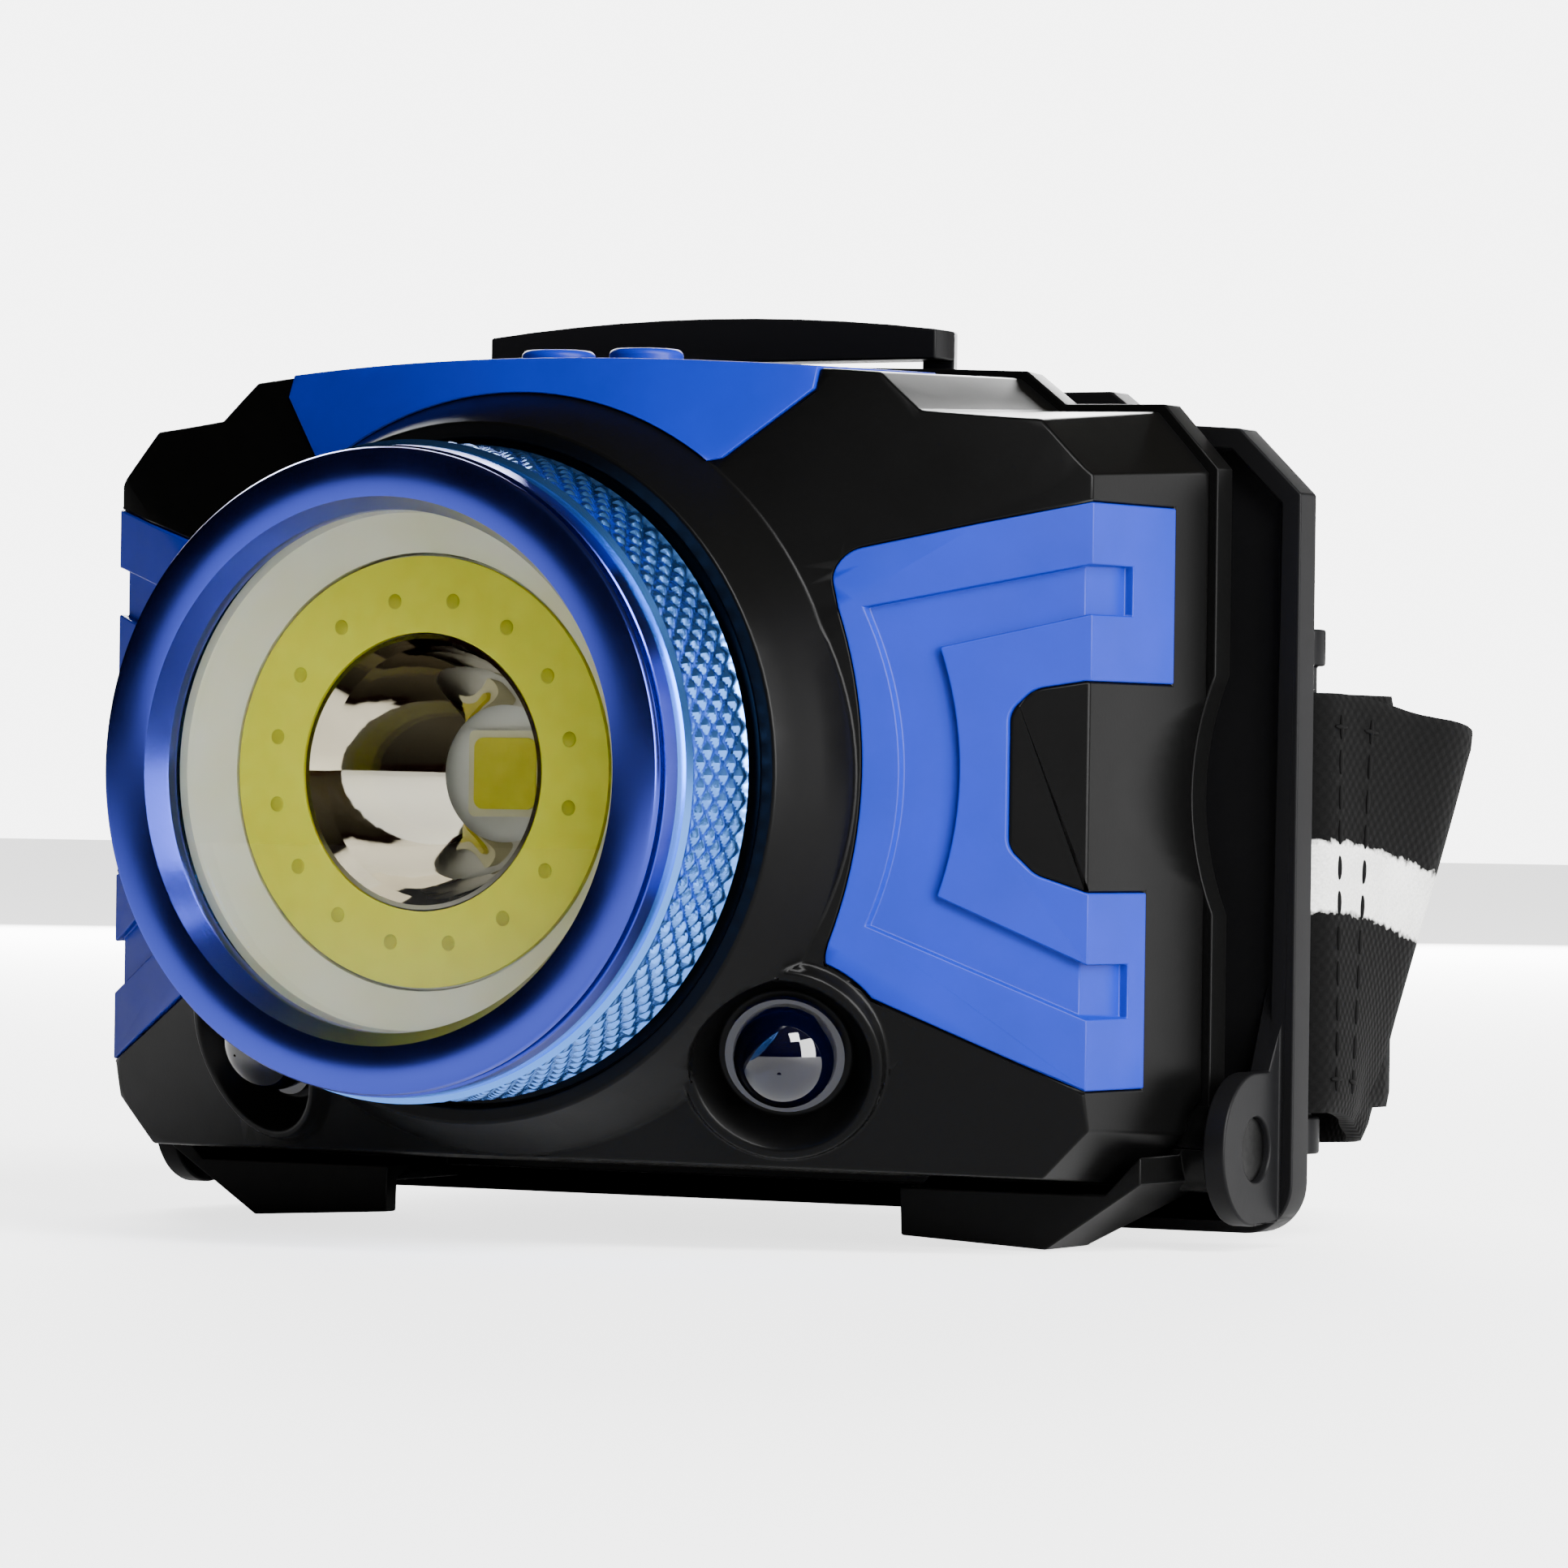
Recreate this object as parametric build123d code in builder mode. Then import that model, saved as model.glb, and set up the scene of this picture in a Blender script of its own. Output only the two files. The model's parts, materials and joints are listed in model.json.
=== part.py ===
"""Headlamp: a tilting battery lamp on a back plate with a forehead pad and an elastic strap.

Millimetres. The origin is the centre of the forehead pad's rear face, +Z is up, and the lamp shines
along -Y. A "depth" is measured back from the front face of the bezel.
"""
import os
from math import atan2, cos, hypot, pi, sin

from build123d import *

os.makedirs("parts", exist_ok=True)

# ---- driving dimensions -------------------------------------------------------------------------
LAMP_DEPTH = 48.0  # bezel front face to the rear face of the forehead pad

BEZEL_FACE_R = 18.3
BEZEL_KNURL_R = 18.85
BEZEL_LIP_R = 14.8
BEZEL_END = 10.0

COLLAR_R = 20.2  # round boss that the bezel sinks into
COLLAR_DEPTH = 10.1
FLARE_R = 22.1  # foot of the collar, and the arc that the soft panels stop at
FLARE_DEPTH = 15.0
FRONT_SLOPE = 0.56  # how fast the front falls back from the collar
SIDE_SLOPE = 0.685  # and on the flat side facets
SIDE_START_X = 24.0
SIDE_START_DEPTH = 17.5
NECK_R = 17.1
NECK_BORE_R = 15.4

FIRST_DEPTH = 10.0  # where the drafted walls of the shell would start
SEAM_DEPTH = 37.5
RIM_DEPTH = 39.7
WALL = 1.6
FRONT_WALL = 2.0

PANEL_PROUD = 0.12  # soft panels lie in recesses and stand this far out of the shell
PANEL_SUNK = 0.8  # how deep their recesses are
TOP_SUNK = 0.5
GROOVE_FLOOR = 0.45  # depth of the groove's floor under the shell's surface
PANEL_GAP = 0.05  # between the panels and the foot of the collar
PANEL_END = 33.3
LOW_ARM_END = 30.4
GROOVE_END = 28.4

SENSOR_X = 17.9
SENSOR_Z = -16.5
SENSOR_DEPTH = 15.6
SENSOR_RIM_R = 5.2
DOME_R = 3.0

BUTTON_X = 3.0
BUTTON_DEPTH = 25.0
BUTTON_R = 2.2
BUTTON_TOP = 25.2

CELL_R = 5.2
CELL_LENGTH = 43.3
CELL_PITCH = 10.8
CELL_DEPTH = 31.2

HINGE_DEPTH = 38.5
HINGE_Z = -21.4
HINGE_HOLE_R = 1.9
HINGE_PIN_R = 1.85
BOSS_START = 31.0
BOSS_END = 35.4
BOSS_R = 2.6
EAR_R = 4.5
EAR_X = 35.7
EAR_THICK = 1.4

PLATE_FRONT = 41.5
PLATE_FLOOR = 42.4
PLATE_REAR = 43.8
PLATE_X = 38.0
PLATE_TOP = 23.3
PAD_X = 30.0
PAD_Z = 18.0

STRAP_WIDTH = 25.0
STRAP_THICK = 1.4
STRAP_Z = -7.0
STRAP_DEPTH = 48.0
STRAP_BAR_X = 34.9
STRAP_BAR_R = 1.2


def at(depth):
    """Y of a point this far behind the front of the bezel."""
    return depth - LAMP_DEPTH


def facing(depth):
    """Sketch plane that looks at the lamp from the front, X right and Z up."""
    return Plane(origin=(0, at(depth), 0), x_dir=(1, 0, 0), z_dir=(0, -1, 0))


def side_plane(x):
    """Sketch plane across the lamp: local x is +Y, local y is +Z, and it extrudes along +X."""
    return Plane(origin=(x, 0, 0), x_dir=(0, 1, 0), z_dir=(1, 0, 0))


def turned(points):
    """Solid of revolution about the bezel's axis, from (radius, depth) points."""
    with BuildPart() as body:
        with BuildSketch(Plane.XY):
            with BuildLine():
                Polyline([(r, at(d)) for r, d in points], close=True)
            make_face()
        revolve(axis=Axis.Y)
    return body.part


def finish(part, label):
    """Labels one finished piece and writes it."""
    part.label = label
    export_step(part, f"parts/{label}.step")


# ---- the shell's outer form ---------------------------------------------------------------------
def outline(depth, grow=0.0):
    """Right half of the shell's outline at one depth, from the top centre to the bottom centre."""
    t = (depth - FIRST_DEPTH) / (SEAM_DEPTH - FIRST_DEPTH)
    first = ((0, 24.0), (20.9, 23.0), (23.4, 20.6), (29.6, 19.6), (32.3, 16.7), (32.2, -19.3),
             (29.8, -21.9), (0, -23.2))
    last = ((0, 24.4), (21.6, 23.9), (24.2, 21.9), (30.7, 21.8), (34.0, 18.2), (34.0, -20.6),
            (31.0, -23.7), (0, -24.2))
    away = ((0, 1), (0.5, 1), (0.4, 1), (0.5, 1), (1, 0.5), (1, -0.5), (0.5, -1), (0, -1))
    return [
        (a[0] + t * (b[0] - a[0]) + grow * w[0], a[1] + t * (b[1] - a[1]) + grow * w[1])
        for a, b, w in zip(first, last, away)
    ]


def outline_face(depth, grow=0.0):
    """Whole outline of the shell at one depth, both halves, as a sketch."""
    half = outline(depth, grow)
    left = [(-x, z) for x, z in reversed(half[1:-1])]
    with BuildSketch(facing(depth)) as face:
        with BuildLine():
            Polyline(half[1:-1])
            Line(half[-2], left[0])
            Polyline(left)
            ThreePointArc(left[-1], half[0], half[1])
        make_face()
    return face.sketch


def shell_block(grow=0.0, setback=0.0, end=SEAM_DEPTH):
    """Solid form of the shell, its walls grown and its front set back by the given amounts."""
    first = outline_face(FIRST_DEPTH - 3, grow)
    last = outline_face(end, grow)
    reach = 48.0
    with BuildPart() as cone:
        with BuildSketch(Plane.XY):
            with BuildLine():
                Polyline(
                    (0, at(COLLAR_DEPTH + setback)),
                    (COLLAR_R + grow, at(COLLAR_DEPTH + setback)),
                    (FLARE_R + grow, at(FLARE_DEPTH + setback)),
                    (reach, at(FLARE_DEPTH + setback + FRONT_SLOPE * (reach - FLARE_R - grow))),
                    (reach, at(end + 1)),
                    (0, at(end + 1)),
                    close=True,
                )
            make_face()
        revolve(axis=Axis.Y)
    with BuildPart() as facet:
        for side in (1, -1):
            with BuildSketch(Plane.XY.offset(-30)):
                with BuildLine():
                    start = SIDE_START_DEPTH + setback - SIDE_SLOPE * (SIDE_START_X - 12)
                    Polyline(
                        (side * 12, at(start)),
                        (side * 45, at(start + SIDE_SLOPE * 33)),
                        (side * 45, at(0)),
                        (side * 12, at(0)),
                        close=True,
                    )
                make_face()
            extrude(amount=60)
        with BuildSketch(facing(-1)):
            Circle(FLARE_R + grow)
        extrude(amount=-40, mode=Mode.SUBTRACT)
    with BuildPart() as block:
        loft(sections=[first, last], ruled=True)
        add(cone.part, mode=Mode.INTERSECT)
        add(facet.part, mode=Mode.SUBTRACT)
    return block.part


shell_form = shell_block()

# ---- sensor cups: where they stand and how they lean --------------------------------------------
SENSOR_LEAN = atan2(FRONT_SLOPE, 1.0)


def sensor_plane(side):
    """Plane on the rim of one cup, its normal pointing out of the cup."""
    spread = hypot(SENSOR_X, SENSOR_Z)
    outward = (side * SENSOR_X / spread, 0, SENSOR_Z / spread)
    normal = (sin(SENSOR_LEAN) * outward[0], -cos(SENSOR_LEAN), sin(SENSOR_LEAN) * outward[2])
    return Plane(origin=(side * SENSOR_X, at(SENSOR_DEPTH), SENSOR_Z), z_dir=normal)


def sensor_turned(side, points):
    """Solid of revolution about one cup's axis, from (radius, height above the rim) points."""
    plane = sensor_plane(side)
    across = Plane(origin=plane.origin, x_dir=plane.x_dir, z_dir=-plane.y_dir)
    with BuildPart() as body:
        with BuildSketch(across):
            with BuildLine():
                Polyline(points, close=True)
            make_face()
        revolve(axis=Axis(plane.origin, plane.z_dir))
    return body.part


# ---- finger scoop at the seam -------------------------------------------------------------------
SCOOP_R = 18.0
SCOOP_Z = -0.7
SCOOP_FLOOR_X = 33.0
SCOOP_LEAN = atan2(0.25, 13.5)


def scoop(side):
    """Round cutter that leans out of the side wall towards the front."""
    start = (side * (SCOOP_FLOOR_X + SCOOP_R), at(SEAM_DEPTH + 3), SCOOP_Z)
    with BuildPart() as cutter:
        with BuildSketch(Plane(origin=start, z_dir=(side * sin(SCOOP_LEAN), -cos(SCOOP_LEAN), 0))):
            Circle(SCOOP_R)
        extrude(amount=30)
    return cutter.part


# ---- soft panels --------------------------------------------------------------------------------
def side_outline():
    """C-shaped outline of the right panel, seen from the front."""
    with BuildSketch(facing(5)) as face:
        with BuildLine():
            Polyline(
                (20.2, 12.65), (33.1, 15.9), (38, 15.9), (38, 5.7), (32.9, 5.7), (30.4, 5.2),
                (29.3, 3.9), (29.3, -3.9), (30.6, -5.4), (33.1, -6.4), (38, -6.4), (38, -17.7),
                (33.1, -17.7), (20.3, -11.25),
            )
            ThreePointArc((20.3, -11.25), (22.4, 0.6), (20.2, 12.65))
        make_face()
        fillet([v for v in face.vertices() if v.X < 21.5], 1.7)
        fillet([v for v in face.vertices() if 29 < v.X < 31 and abs(v.Y) < 5.45], 1.5)
    return face.sketch


def groove_outline():
    """C-shaped groove in the right panel, seen from the front."""
    with BuildSketch(facing(5)) as face:
        with BuildLine():
            Polyline((33.1, 12.35), (38, 12.35), (38, 9.5), (33.1, 9.5), (26.0, 7.5))
            ThreePointArc((26.0, 7.5), (27.0, 0.4), (26.0, -6.7))
            Polyline((26.0, -6.7), (33.1, -10.5), (38, -10.5), (38, -13.6), (33.1, -13.6), (22.7, -8.4))
            ThreePointArc((22.7, -8.4), (24.2, 0.4), (22.4, 9.7))
            Line((22.4, 9.7), (33.1, 12.35))
        make_face()
    return face.sketch


panel_top = shell_block(PANEL_PROUD, -PANEL_PROUD, SEAM_DEPTH)
recess_floor = shell_block(-PANEL_SUNK, PANEL_SUNK, SEAM_DEPTH + 1)
groove_floor = shell_block(-GROOVE_FLOOR, GROOVE_FLOOR, SEAM_DEPTH + 1)
with BuildPart() as groove_cut:
    add(extrude(groove_outline(), amount=-(GROOVE_END - 5)))
    add(groove_floor, mode=Mode.SUBTRACT)
with BuildPart() as panel_blank:
    add(extrude(side_outline(), amount=-(PANEL_END - 5)))
    add(panel_top, mode=Mode.INTERSECT)
    add(recess_floor, mode=Mode.SUBTRACT)
    add(sensor_turned(1, [(0, 1), (6.45, 1), (6.45, -5), (0, -5)]), mode=Mode.SUBTRACT)
    with BuildSketch(facing(PANEL_END + 1)):  # the lower arm ends sooner
        with Locations((34, -12)):
            Rectangle(12, 12)
    extrude(amount=PANEL_END + 1 - LOW_ARM_END, mode=Mode.SUBTRACT)
with BuildPart() as side_grip_right:
    add(panel_blank.part)
    add(groove_cut.part, mode=Mode.SUBTRACT)
finish(side_grip_right.part, "side_grip_right")
with BuildPart() as side_grip_left:
    add(mirror(side_grip_right.part, about=Plane.YZ))
finish(side_grip_left.part, "side_grip_left")

with BuildSketch(facing(5)) as top_outline:
    with BuildLine():
        Polyline(
            (-17.8, 30), (17.8, 30), (17.8, 22.3), (13.6, 18.2), (12.2, 17.9), (11.0, 15), (-11.0, 15),
            (-12.2, 17.9), (-13.6, 18.2), (-17.8, 22.3), close=True,
        )
    make_face()
    Circle(FLARE_R + PANEL_GAP, mode=Mode.SUBTRACT)
with BuildPart() as top_blank:
    add(extrude(top_outline.sketch, amount=-(PANEL_END + 0.4 - 5)))
    add(panel_top, mode=Mode.INTERSECT)
    add(shell_block(-TOP_SUNK, TOP_SUNK, SEAM_DEPTH + 1), mode=Mode.SUBTRACT)
with BuildPart() as top_grip:
    add(top_blank.part)
    with BuildSketch(Plane.XY.offset(18)):
        with Locations(*[(side * BUTTON_X, at(BUTTON_DEPTH)) for side in (1, -1)]):
            Circle(BUTTON_R + 0.3)
    extrude(amount=10, mode=Mode.SUBTRACT)
finish(top_grip.part, "top_grip")

# ---- front shell --------------------------------------------------------------------------------
BOARD_DEPTH = 20.7
BOARD_HOLE_X = 18.0
BOARD_HOLES = [(side * BOARD_HOLE_X, height) for height in (12, -4) for side in (1, -1)]
with BuildPart() as right_recessed:
    add(shell_form)
    add(shell_block(-WALL, FRONT_WALL, SEAM_DEPTH + 0.5), mode=Mode.SUBTRACT)
    add(panel_blank.part, mode=Mode.SUBTRACT)
left_recessed = mirror(right_recessed.part, about=Plane.YZ)
with BuildPart() as front_shell:
    add(left_recessed & right_recessed.part)
    add(top_blank.part, mode=Mode.SUBTRACT)
    for side in (1, -1):
        add(sensor_turned(side, [(0, 0), (5.7, 0), (6.4, -1.6), (6.4, -4.4), (0, -4.4)]))
    with BuildSketch(facing(10.8)):  # neck that the bezel screws on
        Circle(NECK_R)
    extrude(amount=6.0)
    with BuildSketch(facing(10.8)):  # groove between the neck and the collar
        Circle(COLLAR_R - 1.0)
        Circle(NECK_R, mode=Mode.SUBTRACT)
    extrude(amount=2, mode=Mode.SUBTRACT)
    with BuildSketch(facing(12.0)):  # wall behind the groove
        Circle(COLLAR_R)
    extrude(amount=-1.0)
    with BuildSketch(facing(0)):  # bore for the light engine
        Circle(NECK_BORE_R)
    extrude(amount=-30, mode=Mode.SUBTRACT)
    for side in (1, -1):
        add(
            sensor_turned(side, [(0, 2), (SENSOR_RIM_R, 2), (SENSOR_RIM_R, 0), (3.9, -2.2), (0, -2.2)]),
            mode=Mode.SUBTRACT,
        )
        add(sensor_turned(side, [(0, 0), (2.6, 0), (2.6, -6), (0, -6)]), mode=Mode.SUBTRACT)
        add(scoop(side), mode=Mode.SUBTRACT)
    for height, reach in ((12, 3.4), (-4, 8.0)):  # bosses for the driver board, out of the front wall
        with BuildSketch(facing(BOARD_DEPTH - 0.05)):
            with Locations((BOARD_HOLE_X, height), (-BOARD_HOLE_X, height)):
                Circle(2.2)
        extrude(amount=reach)
    with BuildSketch(facing(BOARD_DEPTH)):
        with Locations(*BOARD_HOLES):
            Circle(0.8)
    extrude(amount=3.0, mode=Mode.SUBTRACT)
    with BuildSketch(Plane.XY.offset(18)):  # the two button holes
        with Locations(*[(side * BUTTON_X, at(BUTTON_DEPTH)) for side in (1, -1)]):
            Circle(BUTTON_R + 0.3)
    extrude(amount=10, mode=Mode.SUBTRACT)
    for side in (1, -1):  # room for the hinge bosses at the lower rear corners
        with BuildSketch(side_plane(side * (BOSS_START - 0.3))):
            with Locations((at(HINGE_DEPTH), HINGE_Z)):
                Circle(BOSS_R + 0.35)
        extrude(amount=side * 6, mode=Mode.SUBTRACT)
finish(front_shell.part, "front_shell")


# ---- bezel, window and seal ---------------------------------------------------------------------
bezel_ring = turned([
    (15.5, 0), (18.05, 0), (BEZEL_FACE_R, 0.25), (BEZEL_FACE_R, 0.5), (18.0, 0.6), (18.0, 0.85),
    (18.4, 0.95), (18.5, 2.1), (BEZEL_KNURL_R, 2.3), (BEZEL_KNURL_R, 9.7), (18.5, BEZEL_END),
    (NECK_R + 0.1, BEZEL_END), (NECK_R + 0.1, 2.4), (BEZEL_LIP_R, 2.4), (BEZEL_LIP_R, 1.44),
])
finish(bezel_ring, "bezel_ring")
lens_window = turned([(0, 2.45), (16.6, 2.45), (16.6, 3.65), (0, 3.65)])
finish(lens_window, "lens_window")
with BuildPart() as lens_seal:
    with BuildSketch(Plane.XY):
        with Locations((16.2, at(4.2))):
            Circle(0.5)
    revolve(axis=Axis.Y)
finish(lens_seal.part, "lens_seal")

# ---- light engine -------------------------------------------------------------------------------
COB_DEPTH = 5.6
COB_OUTER_R = 12.3
COB_INNER_R = 7.95
DIE_RING_R = 9.9
DIE_COUNT = 16
diffuser_bowl = turned([
    (14.7, 3.75), (15.2, 3.75), (15.2, 16.7), (14.4, 16.7), (14.4, 8.0), (8.0, 8.0), (8.0, 7.0),
    (12.5, 7.0), (12.5, COB_DEPTH),
])
finish(diffuser_bowl, "diffuser_bowl")
cob_board = turned([(8.0, 6.0), (12.4, 6.0), (12.4, 6.95), (8.0, 6.95)])
finish(cob_board, "cob_board")
cob_phosphor = turned([
    (COB_INNER_R, COB_DEPTH), (COB_OUTER_R, COB_DEPTH), (COB_OUTER_R, 6.0), (COB_INNER_R, 6.0),
])
finish(cob_phosphor, "cob_phosphor")
with BuildPart() as cob_chips:
    with BuildSketch(facing(COB_DEPTH)):
        with PolarLocations(DIE_RING_R, DIE_COUNT, start_angle=180 / DIE_COUNT):
            Circle(0.45)
    extrude(amount=0.1)
finish(cob_chips.part, "cob_chips")

REFLECTOR_END = 14.8
with BuildPart() as reflector:
    with BuildSketch(Plane.XY):
        with BuildLine():
            Polyline((4.7, at(REFLECTOR_END)), (4.0, at(REFLECTOR_END)))
            ThreePointArc((4.0, at(REFLECTOR_END)), (6.35, at(10.2)), (7.25, at(7.0)))
            Polyline((7.25, at(7.0)), (7.6, at(5.7)), (7.85, at(5.7)), (7.85, at(7.2)))
            ThreePointArc((7.85, at(7.2)), (6.98, at(10.6)), (4.7, at(REFLECTOR_END)))
        make_face()
    revolve(axis=Axis.Y)
finish(reflector.part, "reflector")
with BuildPart() as led_board:
    with BuildSketch(facing(15.6)):
        RegularPolygon(8.0, 6)
    extrude(amount=-1.2)
finish(led_board.part, "led_board")
with BuildPart() as led_package:
    with BuildSketch(facing(15.6)):
        RectangleRounded(5.0, 5.0, 0.4)
    extrude(amount=0.65)
finish(led_package.part, "led_package")
with BuildPart() as led_phosphor:
    with BuildSketch(facing(14.95)):
        RectangleRounded(4.15, 4.15, 0.6)
    extrude(amount=0.15)
finish(led_phosphor.part, "led_phosphor")
WIRE_R = 13.4
with BuildPart() as heat_sink:
    with BuildSketch(facing(16.9)):
        Circle(15.0)
        with PolarLocations(WIRE_R, 2, start_angle=90):
            Circle(0.9, mode=Mode.SUBTRACT)
    extrude(amount=-1.5)
finish(heat_sink.part, "heat_sink")
with BuildPart() as cob_wires:
    with BuildSketch(facing(8.3)):
        with PolarLocations(WIRE_R, 2, start_angle=90):
            Circle(0.6)
    extrude(amount=-(BOARD_DEPTH - 8.5))
finish(cob_wires.part, "cob_wires")

# ---- boards -------------------------------------------------------------------------------------
BOARD_THICK = 1.2
with BuildPart() as driver_board:
    with BuildSketch(facing(BOARD_DEPTH)):
        RectangleRounded(41, 33, 2)
        with Locations((SENSOR_X, SENSOR_Z), (-SENSOR_X, SENSOR_Z)):
            Circle(8.2, mode=Mode.SUBTRACT)
        with Locations(*BOARD_HOLES):
            Circle(1.1, mode=Mode.SUBTRACT)
    extrude(amount=-BOARD_THICK)
finish(driver_board.part, "driver_board")
with BuildPart() as driver_chips:
    with BuildSketch(facing(BOARD_DEPTH + BOARD_THICK)):
        with Locations((-6, 4)):
            Rectangle(5, 4)
        with Locations((6, 4)):
            Rectangle(4, 4)
        with Locations((0, -8)):
            Rectangle(6, 5)
        with GridLocations(3.2, 0, 4, 1):
            Rectangle(1.6, 0.8)
    extrude(amount=-1.1)
finish(driver_chips.part, "driver_chips")
with BuildPart() as board_screws:
    with BuildSketch(facing(BOARD_DEPTH + BOARD_THICK)):
        with Locations(*BOARD_HOLES):
            Circle(1.8)
    extrude(amount=-1.0)
    with BuildSketch(facing(BOARD_DEPTH + BOARD_THICK)):
        with Locations(*BOARD_HOLES):
            Circle(0.75)
    extrude(amount=3.8)
finish(board_screws.part, "board_screws")
SWITCH_Z = 18.4
with BuildPart() as switch_board:
    with BuildSketch(Plane.XY.offset(SWITCH_Z - 1.0)):
        with Locations((0, at(BUTTON_DEPTH + 0.3))):
            Rectangle(15, 5.6)
    extrude(amount=1.0)
finish(switch_board.part, "switch_board")
with BuildPart() as push_switches:
    for side in (1, -1):
        with BuildSketch(Plane.XY.offset(SWITCH_Z)):
            with Locations((side * BUTTON_X, at(BUTTON_DEPTH))):
                Rectangle(4.2, 4.2)
        extrude(amount=1.8)
        with BuildSketch(Plane.XY.offset(SWITCH_Z + 1.8)):
            with Locations((side * BUTTON_X, at(BUTTON_DEPTH))):
                Circle(1.1)
        extrude(amount=0.8)
finish(push_switches.part, "push_switches")

# ---- buttons ------------------------------------------------------------------------------------
FLANGE_Z = 21.95
FLANGE_THICK = 0.45
for side, label in ((-1, "button_main"), (1, "button_sensor")):
    with BuildPart() as button:
        with BuildSketch(Plane.XY.offset(FLANGE_Z)):  # flange that keeps it in its hole
            with Locations((side * BUTTON_X, at(BUTTON_DEPTH))):
                Circle(BUTTON_R + 0.55)
        extrude(amount=FLANGE_THICK)
        with BuildSketch(Plane.XY.offset(FLANGE_Z + FLANGE_THICK)):
            with Locations((side * BUTTON_X, at(BUTTON_DEPTH))):
                Circle(BUTTON_R)
        extrude(amount=BUTTON_TOP - FLANGE_Z - FLANGE_THICK)
        fillet(button.edges().filter_by(GeomType.CIRCLE).sort_by(Axis.Z)[-1], 0.4)
    finish(button.part, label)

# ---- sensor lenses and what looks through them --------------------------------------------------
for side, label in ((-1, "left"), (1, "right")):
    plane = sensor_plane(side)
    base = plane.offset(-2.15)
    with BuildPart() as lens:
        with BuildSketch(base):
            Circle(3.45)
        extrude(amount=0.5)
        with BuildSketch(Plane(origin=base.offset(0.5).origin, x_dir=base.x_dir, z_dir=-base.y_dir)):
            with BuildLine():
                CenterArc((0, 0), DOME_R, 0, 90)
                Polyline((0, DOME_R), (0, 0), (DOME_R, 0))
            make_face()
        revolve(axis=Axis(base.origin, base.z_dir))
    finish(lens.part, f"sensor_lens_{label}")
    with BuildPart() as diode:
        with BuildSketch(base.offset(-0.1)):
            Circle(1.5)
        extrude(amount=-2.4)
        with BuildSketch(base.offset(-2.5)):
            Circle(1.9)
        extrude(amount=-0.8)
    finish(diode.part, f"sensor_diode_{label}")

# ---- cells and their tray -----------------------------------------------------------------------
TRAY_X = 26.6
TRAY_Z = 17.4
TRAY_DEPTH = 24.6
with BuildPart() as battery_tray:
    with BuildSketch(facing(TRAY_DEPTH)):
        RectangleRounded(2 * TRAY_X, 2 * TRAY_Z, 1.5)
    extrude(amount=-1.2)
    with BuildSketch(facing(TRAY_DEPTH + 1.2)):
        RectangleRounded(2 * TRAY_X, 2 * TRAY_Z, 1.5)
        RectangleRounded(2 * TRAY_X - 2.4, 2 * TRAY_Z - 2.0, 0.5, mode=Mode.SUBTRACT)
    extrude(amount=-10.0)
    with BuildSketch(facing(TRAY_DEPTH + 1.2)):
        with GridLocations(0, CELL_PITCH, 1, 2):
            Rectangle(34, 0.25)
    extrude(amount=-3.0)
finish(battery_tray.part, "battery_tray")
for number in (1, 2, 3):
    z = (2 - number) * CELL_PITCH
    plus = 1 if number % 2 else -1
    start = Plane(origin=(-plus * CELL_LENGTH / 2, at(CELL_DEPTH), z), z_dir=(plus, 0, 0))
    with BuildPart() as cell:
        with BuildSketch(start):
            Circle(CELL_R)
        extrude(amount=CELL_LENGTH - 0.8)
        chamfer(cell.edges().filter_by(GeomType.CIRCLE), 0.35)
        with BuildSketch(start.offset(CELL_LENGTH - 0.8)):
            Circle(1.9)
        extrude(amount=0.8)
    finish(cell.part, f"battery_cell_{number}")
with BuildPart() as battery_springs:
    for number in (1, 2, 3):
        z = (2 - number) * CELL_PITCH
        plus = 1 if number % 2 else -1
        foot = Plane(origin=(-plus * (TRAY_X - 1.3), at(CELL_DEPTH), z), z_dir=(plus, 0, 0))
        for turn in range(4):
            ring_r = 3.6 - 0.6 * turn
            with BuildSketch(foot.offset(0.15 + 0.6 * turn)):
                Circle(ring_r)
                Circle(ring_r - 1.0, mode=Mode.SUBTRACT)
            extrude(amount=0.6)
finish(battery_springs.part, "battery_springs")
with BuildPart() as battery_contacts:
    for number in (1, 2, 3):
        z = (2 - number) * CELL_PITCH
        plus = 1 if number % 2 else -1
        foot = Plane(origin=(plus * (TRAY_X - 1.3), at(CELL_DEPTH), z), z_dir=(-plus, 0, 0))
        with BuildSketch(foot):
            Rectangle(7.6, 7.6)
        extrude(amount=0.4)
        with BuildSketch(foot.offset(0.4)):
            Circle(1.6)
        extrude(amount=2.9)
finish(battery_contacts.part, "battery_contacts")

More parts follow.
